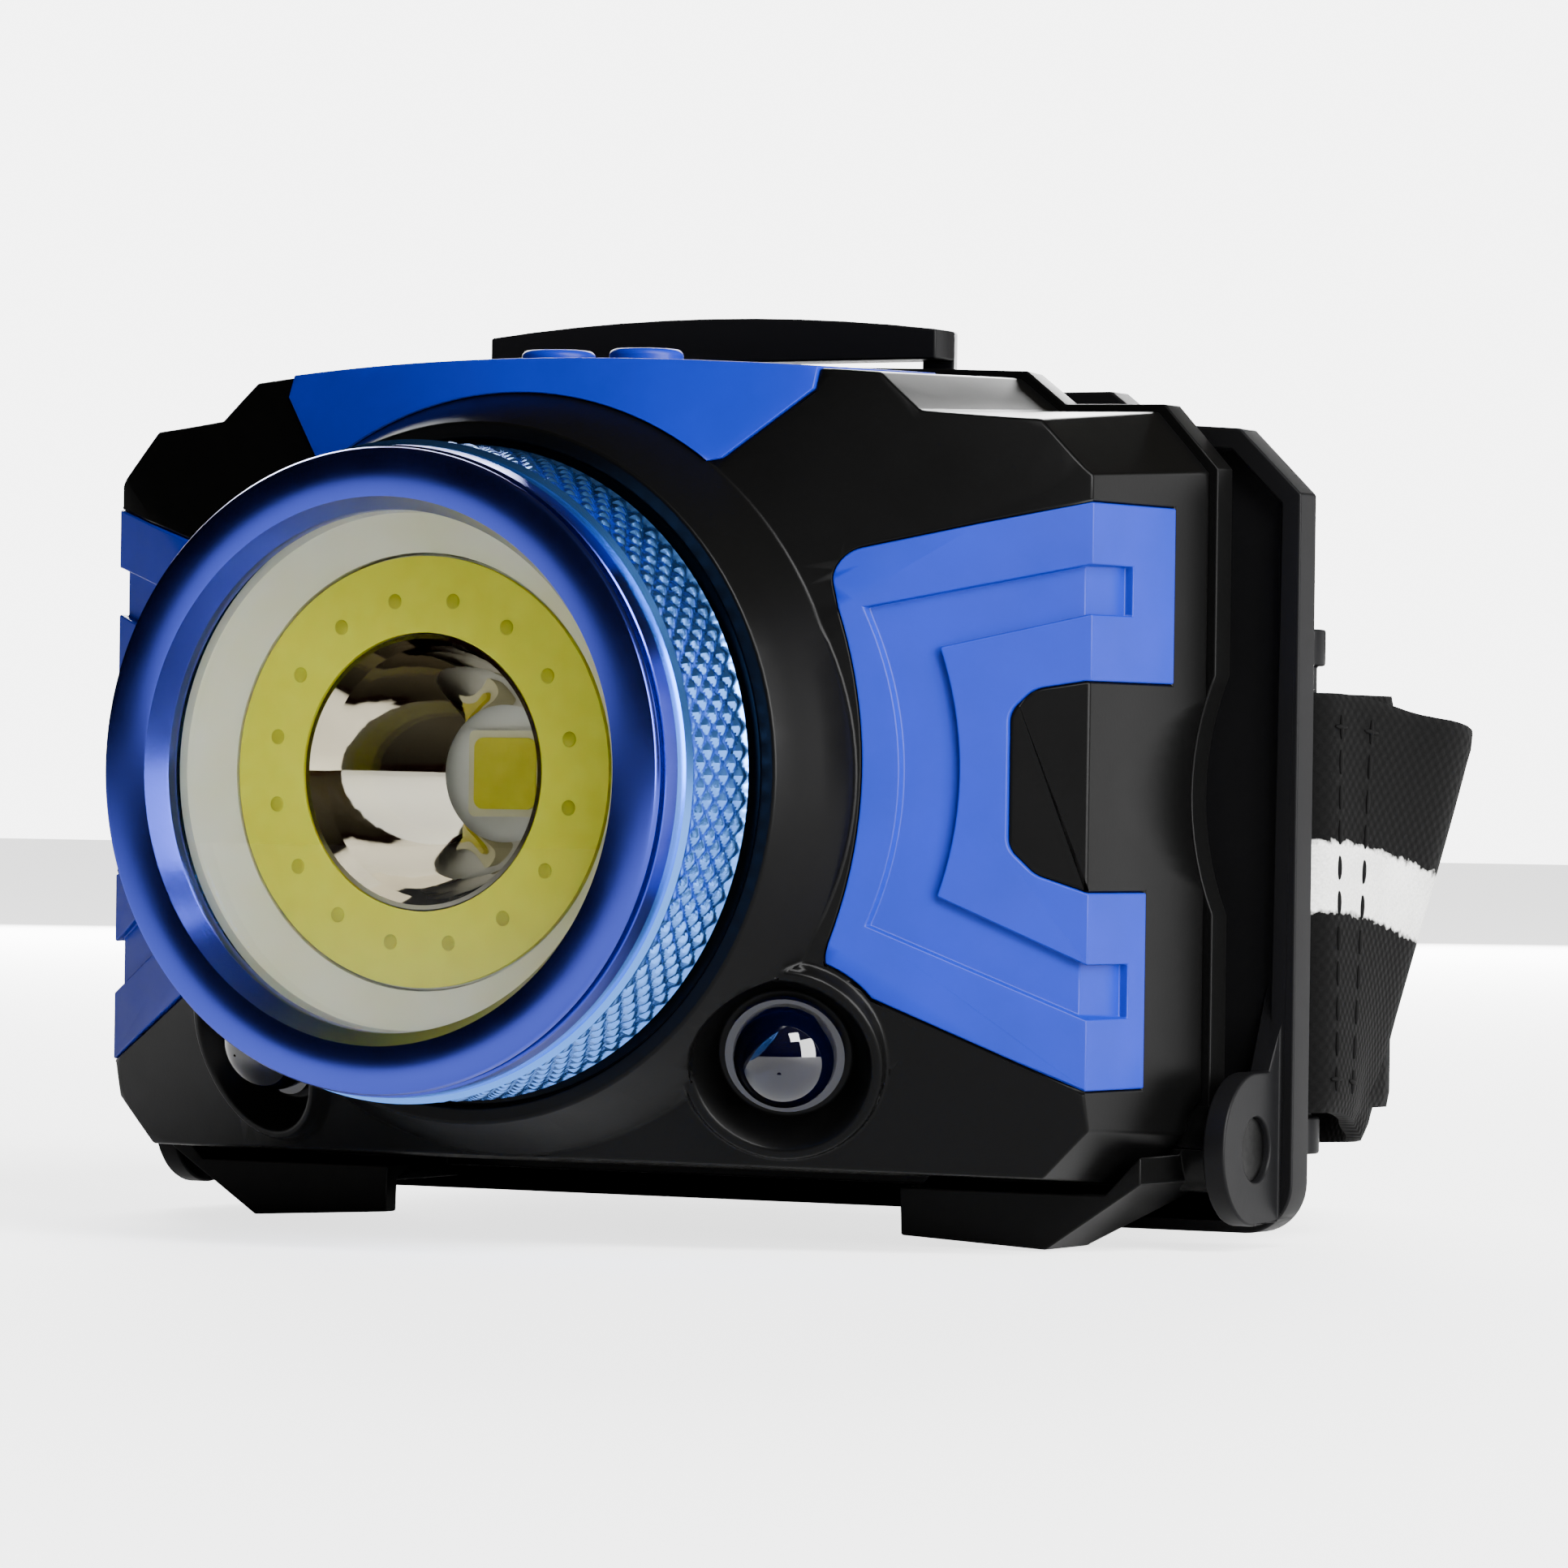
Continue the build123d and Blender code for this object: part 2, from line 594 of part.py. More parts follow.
# ---- rear cover with its legs, tongue and hinge bosses ------------------------------------------
LEG_FRONT = 30.6
LEG_REAR = 35.2
LEG_GAP = 0.25
LEG_STEP_Z = -24.9
PIN_START = 32.6
with BuildPart() as rear_cover:
    loft(sections=[outline_face(SEAM_DEPTH + 0.1, 0.45), outline_face(RIM_DEPTH, 0.3)], ruled=True)
    for side in (1, -1):
        with BuildSketch(facing(RIM_DEPTH)):
            with BuildLine():
                Polyline(
                    (side * 17.6, -22), (side * 17.8, -26.8), (side * 27.3, -27.3),
                    (side * 33.4, -23.3), (side * 33.4, -21), close=True,
                )
            make_face()
        extrude(amount=RIM_DEPTH - LEG_FRONT)
    add(  # the legs clear the widest part of the shell, which slides forwards past them
        extrude(outline_face(SEAM_DEPTH, LEG_GAP), amount=SEAM_DEPTH - LEG_FRONT + 1),
        mode=Mode.SUBTRACT,
    )
    with BuildSketch(facing(SEAM_DEPTH + 1.0)):  # tongue that enters the shell
        RectangleRounded(59.4, 38.4, 3)
        RectangleRounded(56.6, 35.6, 2, mode=Mode.SUBTRACT)
    extrude(amount=3.4)
    with BuildSketch(facing(SEAM_DEPTH + 0.8)):  # shallow pan in front of the cells
        RectangleRounded(56.6, 35.6, 2)
    extrude(amount=2, mode=Mode.SUBTRACT)
    for side in (1, -1):
        add(scoop(side), mode=Mode.SUBTRACT)
    with BuildSketch(side_plane(-40)):  # sloping backs of the legs
        with BuildLine():
            Polyline(
                (at(LEG_REAR), -28), (at(RIM_DEPTH) + 0.01, -24.4), (at(RIM_DEPTH) + 2, -28),
                close=True,
            )
        make_face()
    extrude(amount=80, mode=Mode.SUBTRACT)
    with BuildSketch(Plane.XY.offset(LEG_STEP_Z)):  # the legs thin out towards the middle
        for side in (1, -1):
            with BuildLine():
                Polyline(
                    (side * 17, at(LEG_FRONT + 0.9)), (side * 27.3, at(LEG_REAR + 1.0)),
                    (side * 27.3, at(RIM_DEPTH + 1)), (side * 17, at(RIM_DEPTH + 1)), close=True,
                )
            make_face()
    extrude(amount=-6, mode=Mode.SUBTRACT)
    with BuildSketch(side_plane(-BOSS_END)):  # hinge bosses at the lower corners
        with Locations((at(HINGE_DEPTH), HINGE_Z)):
            Circle(BOSS_R)
    extrude(amount=BOSS_END - BOSS_START)
    with BuildSketch(side_plane(BOSS_END)):
        with Locations((at(HINGE_DEPTH), HINGE_Z)):
            Circle(BOSS_R)
    extrude(amount=-(BOSS_END - BOSS_START))
    for side in (1, -1):
        with BuildSketch(side_plane(side * PIN_START)):
            with Locations((at(HINGE_DEPTH), HINGE_Z)):
                Circle(HINGE_PIN_R)
        extrude(amount=side * 6, mode=Mode.SUBTRACT)
finish(rear_cover.part, "rear_cover")
with BuildPart() as cover_seal:
    with BuildSketch(facing(SEAM_DEPTH - 0.1)):
        RectangleRounded(60.9, 39.9, 3.8)
        RectangleRounded(59.5, 38.5, 3, mode=Mode.SUBTRACT)
    extrude(amount=1.2)
finish(cover_seal.part, "cover_seal")
with BuildPart() as hinge_pins:
    for side in (1, -1):
        with BuildSketch(side_plane(side * PIN_START)):
            with Locations((at(HINGE_DEPTH), HINGE_Z)):
                Circle(HINGE_PIN_R)
        extrude(amount=side * (EAR_X + EAR_THICK - 0.4 - PIN_START))
finish(hinge_pins.part, "hinge_pins")

# ---- back plate ---------------------------------------------------------------------------------
LOOP_X = 15.5
LOOP_FRONT = 37.9
LOOP_FOOT = 40.4  # front of the posts, below the bar that stands over the lamp's rim
LOOP_LOW = 25.2
LOOP_SLOT_FRONT = 40.0
LOOP_SLOT_REAR = 42.0
BAR_BOTTOM = STRAP_Z - STRAP_WIDTH / 2 - 2.5
BAR_TOP = STRAP_Z + STRAP_WIDTH / 2 + 3.8
LUG_THICK = 2.2
LUG_R = 1.7
with BuildSketch(facing(PLATE_FLOOR)) as plate_outline:
    with BuildLine():
        Polyline(
            (-PLATE_X, -26.5), (-PLATE_X, 17.1), (-34, 21.0), (-28, 21.4), (-25.5, PLATE_TOP), (25.5, PLATE_TOP),
            (28, 21.4), (34, 21.0), (PLATE_X, 17.1), (PLATE_X, -26.5), (25.7, -26.5), (24.2, -22.4),
            (-24.2, -22.4), (-25.7, -26.5), close=True,
        )
    make_face()
    fillet(plate_outline.vertices().group_by(Axis.Y)[0].sort_by(Axis.X)[0], 3)
    fillet(plate_outline.vertices().group_by(Axis.Y)[0].sort_by(Axis.X)[-1], 3)
with BuildPart() as back_plate:
    add(extrude(plate_outline.sketch, amount=-(PLATE_REAR - PLATE_FLOOR)))
    with BuildSketch(facing(PLATE_FLOOR)):
        add(plate_outline.sketch)
        offset(plate_outline.sketch, amount=-1.3, kind=Kind.INTERSECTION, mode=Mode.SUBTRACT)
    extrude(amount=PLATE_FLOOR - PLATE_FRONT)
    with BuildSketch(facing(PLATE_REAR)):  # loop for a strap over the head
        with BuildLine():
            Polyline((-LOOP_X, 27.0), (-LOOP_X, 21.5), (LOOP_X, 21.5), (LOOP_X, 27.0))
            ThreePointArc((LOOP_X, 27.0), (0, 27.9), (-LOOP_X, 27.0))
        make_face()
    extrude(amount=PLATE_REAR - LOOP_FRONT)
    with BuildSketch(facing(LOOP_FOOT)):  # room for the lamp's rim under the front bar
        with Locations((0, LOOP_LOW - 3)):
            Rectangle(2 * LOOP_X + 1, 6)
    extrude(amount=LOOP_FOOT - LOOP_FRONT, mode=Mode.SUBTRACT)
    with BuildSketch(facing(LOOP_SLOT_REAR)):  # slot that the strap goes down through
        with Locations((0, 26.5)):
            Rectangle(2 * LOOP_X - 4.4, 7.4)
    extrude(amount=LOOP_SLOT_REAR - LOOP_SLOT_FRONT, mode=Mode.SUBTRACT)
    with BuildSketch(facing(PLATE_REAR)):  # and back out under the rear bar
        with Locations((0, 24.4)):
            Rectangle(2 * LOOP_X - 4.4, 2.0)
    extrude(amount=PLATE_REAR - LOOP_SLOT_FRONT, mode=Mode.SUBTRACT)
    with BuildSketch(Plane.XY.offset(PLATE_TOP)):  # the loop narrows to the rear
        for side in (1, -1):
            with BuildLine():
                Polyline(
                    (side * LOOP_X, at(LOOP_FOOT)), (side * (LOOP_X + 2), at(LOOP_FOOT)),
                    (side * (LOOP_X + 2), at(PLATE_REAR + 1)), (side * (LOOP_X - 2), at(PLATE_REAR + 1)),
                    close=True,
                )
            make_face()
    extrude(amount=6, mode=Mode.SUBTRACT)
    with BuildSketch(facing(PLATE_FLOOR)):  # room for the lamp's rim between the posts
        with Locations((0, 22.0)):
            Rectangle(2 * LOOP_X + 1, 1.2)
    extrude(amount=PLATE_FLOOR - LOOP_FOOT, mode=Mode.SUBTRACT)
    for side in (1, -1):
        with BuildSketch(side_plane(side * EAR_X)):  # hinge ear and its gusset
            with Locations((at(HINGE_DEPTH), HINGE_Z)):
                Circle(EAR_R)
            with BuildLine():
                Polyline(
                    (at(HINGE_DEPTH), HINGE_Z + EAR_R), (at(PLATE_REAR - 0.6), HINGE_Z + EAR_R),
                    (at(PLATE_REAR - 0.6), -25.5), (at(HINGE_DEPTH), -25.9), close=True,
                )
            make_face()
            with BuildLine():
                Polyline(
                    (at(40.0), HINGE_Z + EAR_R - 0.6), (at(PLATE_REAR - 0.6), HINGE_Z + EAR_R - 0.6),
                    (at(PLATE_FLOOR), -11.8), close=True,
                )
            make_face()
            with Locations((at(HINGE_DEPTH), HINGE_Z)):
                Circle(HINGE_HOLE_R, mode=Mode.SUBTRACT)
        extrude(amount=side * EAR_THICK)
        for low in (BAR_BOTTOM, BAR_TOP - LUG_THICK):  # lugs that hold the strap bar
            with BuildSketch(Plane.XY.offset(low)):
                with Locations((side * STRAP_BAR_X, at(STRAP_DEPTH))):
                    Circle(LUG_R)
                with Locations((side * STRAP_BAR_X, at((STRAP_DEPTH + PLATE_REAR - 0.6) / 2))):
                    Rectangle(2 * LUG_R - 0.4, STRAP_DEPTH - PLATE_REAR + 0.6)
            extrude(amount=LUG_THICK)
        with BuildSketch(Plane.XY.offset(BAR_BOTTOM)):
            with Locations((side * STRAP_BAR_X, at(STRAP_DEPTH))):
                Circle(STRAP_BAR_R)
        extrude(amount=BAR_TOP - BAR_BOTTOM)
finish(back_plate.part, "back_plate")

# ---- forehead pad -------------------------------------------------------------------------------
with BuildPart() as forehead_pad:
    with BuildSketch(facing(PLATE_REAR + 0.1)):
        RectangleRounded(2 * PAD_X, 2 * PAD_Z, 8)
    extrude(amount=-(LAMP_DEPTH - PLATE_REAR - 0.1))
finish(forehead_pad.part, "forehead_pad")

# ---- elastic strap, folded behind the plate, and its slider --------------------------------------
RING_R = STRAP_BAR_R + 0.15 + STRAP_THICK / 2
LEAVE_X = STRAP_BAR_X + RING_R
FOLD_PITCH = 7.0
FIRST_FOLD = 17.0
OUTER_RUN = 13.5  # depth of the outermost run behind the bars
SIDE_X = 37.6
FOLD_R = 3.0
SEWN_END = 10.5  # each end is sewn down this far behind its bar
lean = (SIDE_X - LEAVE_X) / OUTER_RUN
strap_route = [
    (LEAVE_X, 0), (SIDE_X, OUTER_RUN), (-27, OUTER_RUN), (-27, FIRST_FOLD + FOLD_PITCH),
    (22, FIRST_FOLD + FOLD_PITCH), (22, FIRST_FOLD + 2 * FOLD_PITCH),
    (-27, FIRST_FOLD + 2 * FOLD_PITCH), (-27, FIRST_FOLD + 3 * FOLD_PITCH),
    (17, FIRST_FOLD + 3 * FOLD_PITCH), (17, FIRST_FOLD + 4 * FOLD_PITCH),
    (-SIDE_X, FIRST_FOLD + 4 * FOLD_PITCH), (-LEAVE_X, 0),
]
with BuildLine(Plane(origin=(0, at(STRAP_DEPTH), STRAP_Z - STRAP_WIDTH / 2))) as strap_path:
    FilletPolyline(*strap_route, radius=FOLD_R)
print("strap length", round(strap_path.wire().length + 2 * (pi * RING_R + SEWN_END), 1))
with BuildPart() as head_strap:
    with BuildSketch(Plane(origin=(0, at(STRAP_DEPTH), STRAP_Z - STRAP_WIDTH / 2))):
        with BuildLine():
            FilletPolyline(*strap_route, radius=FOLD_R)
        trace(line_width=STRAP_THICK)
        for side in (1, -1):  # each end goes round its bar and is sewn down beside itself
            with Locations((side * STRAP_BAR_X, 0)):
                Circle(RING_R + STRAP_THICK / 2)
                Circle(RING_R - STRAP_THICK / 2, mode=Mode.SUBTRACT)
            with BuildLine():
                Polyline(
                    (side * (STRAP_BAR_X - RING_R), 0), (side * (STRAP_BAR_X - RING_R + 0.7), 2.0),
                    (side * (LEAVE_X + lean * 5.0 - STRAP_THICK * 0.8), 5.0),
                    (side * (LEAVE_X + lean * SEWN_END - STRAP_THICK * 0.8), SEWN_END),
                )
            trace(line_width=STRAP_THICK)
    extrude(amount=STRAP_WIDTH)
finish(head_strap.part, "head_strap")
SLIDER_X = -4.0
slider_depth = STRAP_DEPTH + FIRST_FOLD + 2 * FOLD_PITCH
with BuildPart() as strap_slider:
    with BuildSketch(side_plane(SLIDER_X - 3.5)):
        with Locations((at(slider_depth), STRAP_Z)):
            RectangleRounded(4.8, STRAP_WIDTH + 5.0, 1.6)
            Rectangle(STRAP_THICK + 0.7, STRAP_WIDTH + 0.8, mode=Mode.SUBTRACT)
    extrude(amount=7.0)
finish(strap_slider.part, "strap_slider")
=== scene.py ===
# %% [markdown]
# # A headlamp, finished in Blender
# The CAD model already holds every rigid piece, its joints and its size. This lesson loads it as a
# fixed frame, gives each piece the finish of its real material, and makes again the few pieces whose
# shape is cloth, foam or fine relief: the knurled bezel, the strap, the pad and the soft edges.

import json
from math import cos, pi, radians, sin, tan, tau

import bmesh
import bpy
from mathutils import Matrix, Vector


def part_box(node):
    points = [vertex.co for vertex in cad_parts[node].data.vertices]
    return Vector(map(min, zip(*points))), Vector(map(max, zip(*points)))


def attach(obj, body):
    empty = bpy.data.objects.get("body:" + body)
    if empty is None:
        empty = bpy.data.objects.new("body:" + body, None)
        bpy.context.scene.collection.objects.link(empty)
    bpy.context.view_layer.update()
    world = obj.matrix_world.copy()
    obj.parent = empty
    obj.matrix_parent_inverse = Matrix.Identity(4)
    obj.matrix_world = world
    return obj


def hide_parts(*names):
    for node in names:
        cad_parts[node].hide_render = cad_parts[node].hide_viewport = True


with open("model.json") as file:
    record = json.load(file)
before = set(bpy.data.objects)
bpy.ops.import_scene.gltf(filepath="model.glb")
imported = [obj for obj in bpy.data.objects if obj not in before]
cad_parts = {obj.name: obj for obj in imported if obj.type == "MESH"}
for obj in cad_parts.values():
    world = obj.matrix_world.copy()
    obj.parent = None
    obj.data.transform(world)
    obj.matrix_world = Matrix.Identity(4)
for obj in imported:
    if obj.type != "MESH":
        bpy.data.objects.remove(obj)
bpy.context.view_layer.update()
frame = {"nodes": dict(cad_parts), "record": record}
nodes = frame["nodes"]
MM = 0.001
BEZEL_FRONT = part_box("bezel_ring")[0][1]  # depths are measured back from here


def back(depth):
    """Y, in metres, of a depth in millimetres behind the front of the bezel."""
    return BEZEL_FRONT + depth * MM


# %% [markdown]
# ## Camera
# The lamp is seen from its right front corner, almost level, through a long lens, so its far side is
# hardly smaller than its near side. The camera comes first, because everything else is judged by it.

# %% Camera
AZIMUTH = radians(28.71)
ELEVATION = radians(-0.14)
ROLL = radians(0.77)
DISTANCE = 403.4
SENSOR_WIDTH = 36
FOCAL_LENGTH = 169.6  # millimetres, on that sensor
AIM_X = 26.35
AIM_Z = -0.45
aim = Vector((AIM_X * MM, back(0), AIM_Z * MM))
backward = Vector((sin(AZIMUTH) * cos(ELEVATION), -cos(AZIMUTH) * cos(ELEVATION), sin(ELEVATION)))
right = Vector((cos(AZIMUTH), sin(AZIMUTH), 0))
up = backward.cross(right)
rolled_right = cos(ROLL) * right + sin(ROLL) * up
rolled_up = cos(ROLL) * up - sin(ROLL) * right
camera = bpy.data.objects.new("camera", bpy.data.cameras.new("camera"))
camera.data.lens = FOCAL_LENGTH
camera.data.sensor_width = SENSOR_WIDTH
camera.data.clip_start = 0.01
camera.matrix_world = Matrix.Translation(aim + backward * DISTANCE * MM) @ Matrix(
    (rolled_right, rolled_up, backward)
).transposed().to_4x4()
bpy.context.collection.objects.link(camera)
bpy.context.scene.camera = camera
print("camera at", [round(v, 3) for v in camera.matrix_world.translation])

# %% [markdown]
# ## Small tools
# Colours are written as sRGB hex codes and turned to linear by one function. One function adds a
# shader or geometry node with its settings and links, and one starts a material on a Principled
# shader, with every number that is the same all over set on the shader's own socket.


# %% Colours, nodes and materials
def paint(code):
    """Linear colour of an sRGB hex code."""
    parts = [int(code[i : i + 2], 16) / 255 for i in (1, 3, 5)]
    return (*[c / 12.92 if c <= 0.04045 else ((c + 0.055) / 1.055) ** 2.4 for c in parts], 1.0)


def add(tree, kind, inputs=(), **settings):
    """Adds a node; inputs maps a socket's name or number to a value or to another node's output."""
    made = tree.nodes.new(kind)
    for name, value in settings.items():
        setattr(made, name, value)
    for name, value in dict(inputs).items():
        if isinstance(value, bpy.types.NodeSocket):
            tree.links.new(value, made.inputs[name])
        else:
            made.inputs[name].default_value = value
    return made


def start_material(name, code, **numbers):
    """A material with one Principled shader: its colour, and its fixed numbers by socket name."""
    material = bpy.data.materials.new(name)
    material.use_nodes = True
    shader = material.node_tree.nodes["Principled BSDF"]
    shader.inputs["Base Color"].default_value = paint(code)
    for socket, value in numbers.items():
        shader.inputs[socket.replace("_", " ")].default_value = value
    return material, material.node_tree, shader


def place(tree):
    """The point on the piece in its own space, in metres: it stays put when the lamp moves."""
    return add(tree, "ShaderNodeTexCoord").outputs["Object"]


def speckle(tree, size, detail=2.0, where=None):
    """Noise whose features are about size millimetres wide."""
    return add(
        tree, "ShaderNodeTexNoise",
        {"Vector": where or place(tree), "Scale": 1 / (size * MM), "Detail": detail},
    ).outputs["Fac"]


def ramp(tree, fac, stops, ease="LINEAR"):
    """Colour ramp from (position, hex code) stops."""
    made = add(tree, "ShaderNodeValToRGB", {"Fac": fac})
    made.color_ramp.interpolation = ease
    while len(made.color_ramp.elements) < len(stops):
        made.color_ramp.elements.new(0.5)
    for element, (position, code) in zip(made.color_ramp.elements, stops):
        element.position = position
        element.color = paint(code)
    return made.outputs["Color"]


def spread(tree, fac, low, high):
    """Maps a pattern from 0..1 to low..high."""
    return add(tree, "ShaderNodeMapRange", {"Value": fac, "To Min": low, "To Max": high}).outputs[0]


def drive(shader, socket, pattern):
    """Lets a pattern set one of the shader's sockets from point to point."""
    shader.id_data.links.new(pattern, shader.inputs[socket])


def relief(tree, shader, height, rise, strength=1.0):
    """Bumps the surface by a pattern; rise is the height of its hills in millimetres."""
    bump = add(tree, "ShaderNodeBump", {"Height": height, "Distance": rise * MM, "Strength": strength})
    drive(shader, "Normal", bump.outputs["Normal"])


# %% [markdown]
# ## Moulded plastics and soft rubber
# The case is black ABS, moulded in a lightly spark-eroded tool: fine grain, half gloss, and a little
# paler where hands rub its edges. The soft parts are blue TPE moulded over it: satin, slightly
# milky, with a finer grain. Edges that were rounded below carry an attribute named "worn".


# %% Moulded black plastic
def moulded_black(name, code, roughness, grain_size, grain_rise, edge):
    """Black ABS: grain from the tool, patchy gloss from handling, and paler rubbed edges."""
    material, tree, shader = start_material(name, code, IOR=1.46, Specular_IOR_Level=0.09)
    grain = speckle(tree, grain_size, 3)
    relief(tree, shader, grain, grain_rise, 0.6)
    patches = speckle(tree, 9, 3)
    gloss = spread(tree, patches, roughness - 0.06, roughness + 0.08)
    drive(shader, "Roughness", gloss)
    worn = add(tree, "ShaderNodeAttribute", attribute_name="worn").outputs["Fac"]
    rub = add(
        tree, "ShaderNodeMath", {0: worn, 1: spread(tree, speckle(tree, 1.6, 4), 0.1, 1.0)},
        operation="MULTIPLY",
    ).outputs[0]
    colour = add(tree, "ShaderNodeMix", {"Factor": rub, 6: paint(code), 7: paint(edge)}, data_type="RGBA")
    drive(shader, "Base Color", colour.outputs[2])
    return material


case_black = moulded_black("ABS moulded black, fine spark grain", "#050505", 0.3, 0.22, 0.004, "#1c1c1e")
cover_black = moulded_black("ABS moulded black, satin cover", "#070707", 0.36, 0.25, 0.004, "#303032")
plate_black = moulded_black("Polypropylene moulded black", "#0f0f10", 0.4, 0.3, 0.005, "#2a2a2a")
print("black plastics", case_black.name, "/", cover_black.name, "/", plate_black.name)


# %% Soft blue rubber
def soft_blue(name, code, pale, dark):
    """Blue TPE: satin, milky, a faint mottle of dye and rubbed, paler edges."""
    material, tree, shader = start_material(
        name, code, IOR=1.46, Specular_IOR_Level=0.28, Subsurface_Weight=0.1, Subsurface_Scale=0.001,
    )
    shader.inputs["Subsurface Radius"].default_value = (0.3, 0.5, 1.0)
    mottle = speckle(tree, 5, 4)
    dye = ramp(tree, mottle, [(0.3, dark), (0.7, code)])
    worn = add(tree, "ShaderNodeAttribute", attribute_name="worn").outputs["Fac"]
    share = add(
        tree, "ShaderNodeMath", {0: worn, 1: spread(tree, speckle(tree, 1.2, 3), 0.15, 0.8)},
        operation="MULTIPLY",
    ).outputs[0]
    colour = add(tree, "ShaderNodeMix", {"Factor": share, 6: dye, 7: paint(pale)}, data_type="RGBA")
    drive(shader, "Base Color", colour.outputs[2])
    drive(shader, "Roughness", spread(tree, speckle(tree, 3, 3), 0.4, 0.52))
    relief(tree, shader, speckle(tree, 0.18, 2), 0.003, 0.5)
    return material


grip_blue = soft_blue("TPE moulded blue, satin", "#001f96", "#3a7af4", "#001d8c")
button_blue = soft_blue("TPE moulded blue, button pads", "#001f96", "#3a7af4", "#001d8c")
print("soft rubber", grip_blue.name)

# %% [markdown]
# ## Metals
# The bezel is turned aluminium, dyed blue and anodised. A metal takes its colour from its
# reflection, so the flat face looks navy where it mirrors the dark side of the room and the knurl
# sparkles where it mirrors the lights. Besides, the flat face gets a darker copy of the blue as
# painted shade and the knurl a paler copy as painted light. Turning leaves fine rings, which pull the
# gloss out sideways.


# %% Anodised aluminium
def anodised(name, code, roughness, rings):
    """Blue anodised aluminium; rings is the spacing of the turning marks in millimetres."""
    material, tree, shader = start_material(name, code, Metallic=1.0)
    point = add(tree, "ShaderNodeSeparateXYZ", {"Vector": place(tree)})
    radius = add(
        tree, "ShaderNodeMath",
        {0: add(tree, "ShaderNodeMath", {0: point.outputs["X"], 1: 2.0}, operation="POWER").outputs[0],
         1: add(tree, "ShaderNodeMath", {0: point.outputs["Z"], 1: 2.0}, operation="POWER").outputs[0]},
        operation="ADD",
    )
    length = add(tree, "ShaderNodeMath", {0: radius.outputs[0]}, operation="SQRT")
    along = add(
        tree, "ShaderNodeCombineXYZ",
        {"X": length.outputs[0], "Y": point.outputs["Y"]},
    )
    marks = add(
        tree, "ShaderNodeTexNoise",
        {"Vector": along.outputs[0], "Scale": 1 / (rings * MM), "Detail": 3.0},
    ).outputs["Fac"]
    relief(tree, shader, marks, 0.0012, 0.5)
    drive(shader, "Roughness", spread(tree, speckle(tree, 4, 4), roughness - 0.04, roughness + 0.05))
    return material


# The one anodised blue in two copies: darker on the flat face as painted shade, paler on the knurl as
# painted light.
face_blue_painted_shade = anodised("Aluminium anodised blue, darkened as painted shade", "#3e48b0", 0.2, 0.12)
knurl_blue_painted_light = anodised("Aluminium anodised blue, paler as painted light", "#5e9fff", 0.24, 0.2)
print("metal", face_blue_painted_shade.name, "/", knurl_blue_painted_light.name)


# %% Plain and plated metals
def plain_metal(name, code, roughness, scratch=0.4):
    """Bare or plated metal with hairline variation in its gloss."""
    material, tree, shader = start_material(name, code, Metallic=1.0)
    drive(shader, "Roughness", spread(tree, speckle(tree, scratch, 4), roughness * 0.7, roughness * 1.3))
    relief(tree, shader, speckle(tree, scratch, 2), 0.0006, 0.3)
    return material


mirror_coat = plain_metal("Aluminium vacuum-coated reflector", "#f1ece2", 0.035, 2.5)
zinc_steel = plain_metal("Steel zinc plated", "#b9bcc0", 0.3)
blackened_steel = plain_metal("Steel, black oxide", "#191919", 0.4)
nickel_steel = plain_metal("Spring steel nickel plated", "#cfcabd", 0.22)
bare_aluminium = plain_metal("Aluminium pressed, bare", "#c4c6c8", 0.38)
print("metals", mirror_coat.name, zinc_steel.name)

# %% [markdown]
# ## The light's own materials
# The ring light is a COB: tiny blue chips under one layer of silicone filled with yellow phosphor.
# Switched off it looks plain yellow, with a faint dot over each chip. Round it sits a cream bowl of
# glossy ABS, and in front a clear window that only shows as a thin sheen.


# %% Phosphor, bowl and window
def silicone_yellow(name, code, deep):
    """Phosphor in silicone: waxy, mottled by uneven filling."""
    material, tree, shader = start_material(
        name, code, IOR=1.41, Subsurface_Weight=0.15, Subsurface_Scale=0.0006,
    )
    drive(shader, "Base Color", ramp(tree, speckle(tree, 1.3, 5), [(0.25, deep), (0.75, code)]))
    drive(shader, "Roughness", spread(tree, speckle(tree, 2, 2), 0.42, 0.6))
    relief(tree, shader, speckle(tree, 0.5, 3), 0.01, 0.35)
    return material


phosphor = silicone_yellow("Silicone with yellow phosphor", "#fffc46", "#f6f036")
phosphor_dot = silicone_yellow("Silicone over a chip", "#d2cf2a", "#bab620")
emitter_yellow = silicone_yellow("Phosphor of the centre LED", "#d8cf30", "#c6bd2a")

bowl_cream, tree, shader = start_material(
    "ABS glossy cream bowl", "#f0efd8", IOR=1.5, Roughness=0.22,
    Subsurface_Weight=0.1, Subsurface_Scale=0.001,
)
drive(shader, "Base Color", ramp(tree, speckle(tree, 6, 3), [(0.3, "#f0edcc"), (0.7, "#f8f7ea")]))
relief(tree, shader, speckle(tree, 1.1, 2), 0.004, 0.25)

window_clear, tree, shader = start_material(
    "Acrylic clear, polished", "#fbfdfb", IOR=1.49, Transmission_Weight=1.0, Roughness=0.0,
)
drive(shader, "Roughness", spread(tree, speckle(tree, 5, 5), 0.0, 0.012))
print("light", phosphor.name, "/", bowl_cream.name, "/", window_clear.name)

# %% [markdown]
# ## Sensor lenses, boards, cells and small parts
# The sensor domes are deep blue polycarbonate: they look black until light comes through their edge.
# The hidden pieces get real finishes too, because the shell slides off for a change of cells.


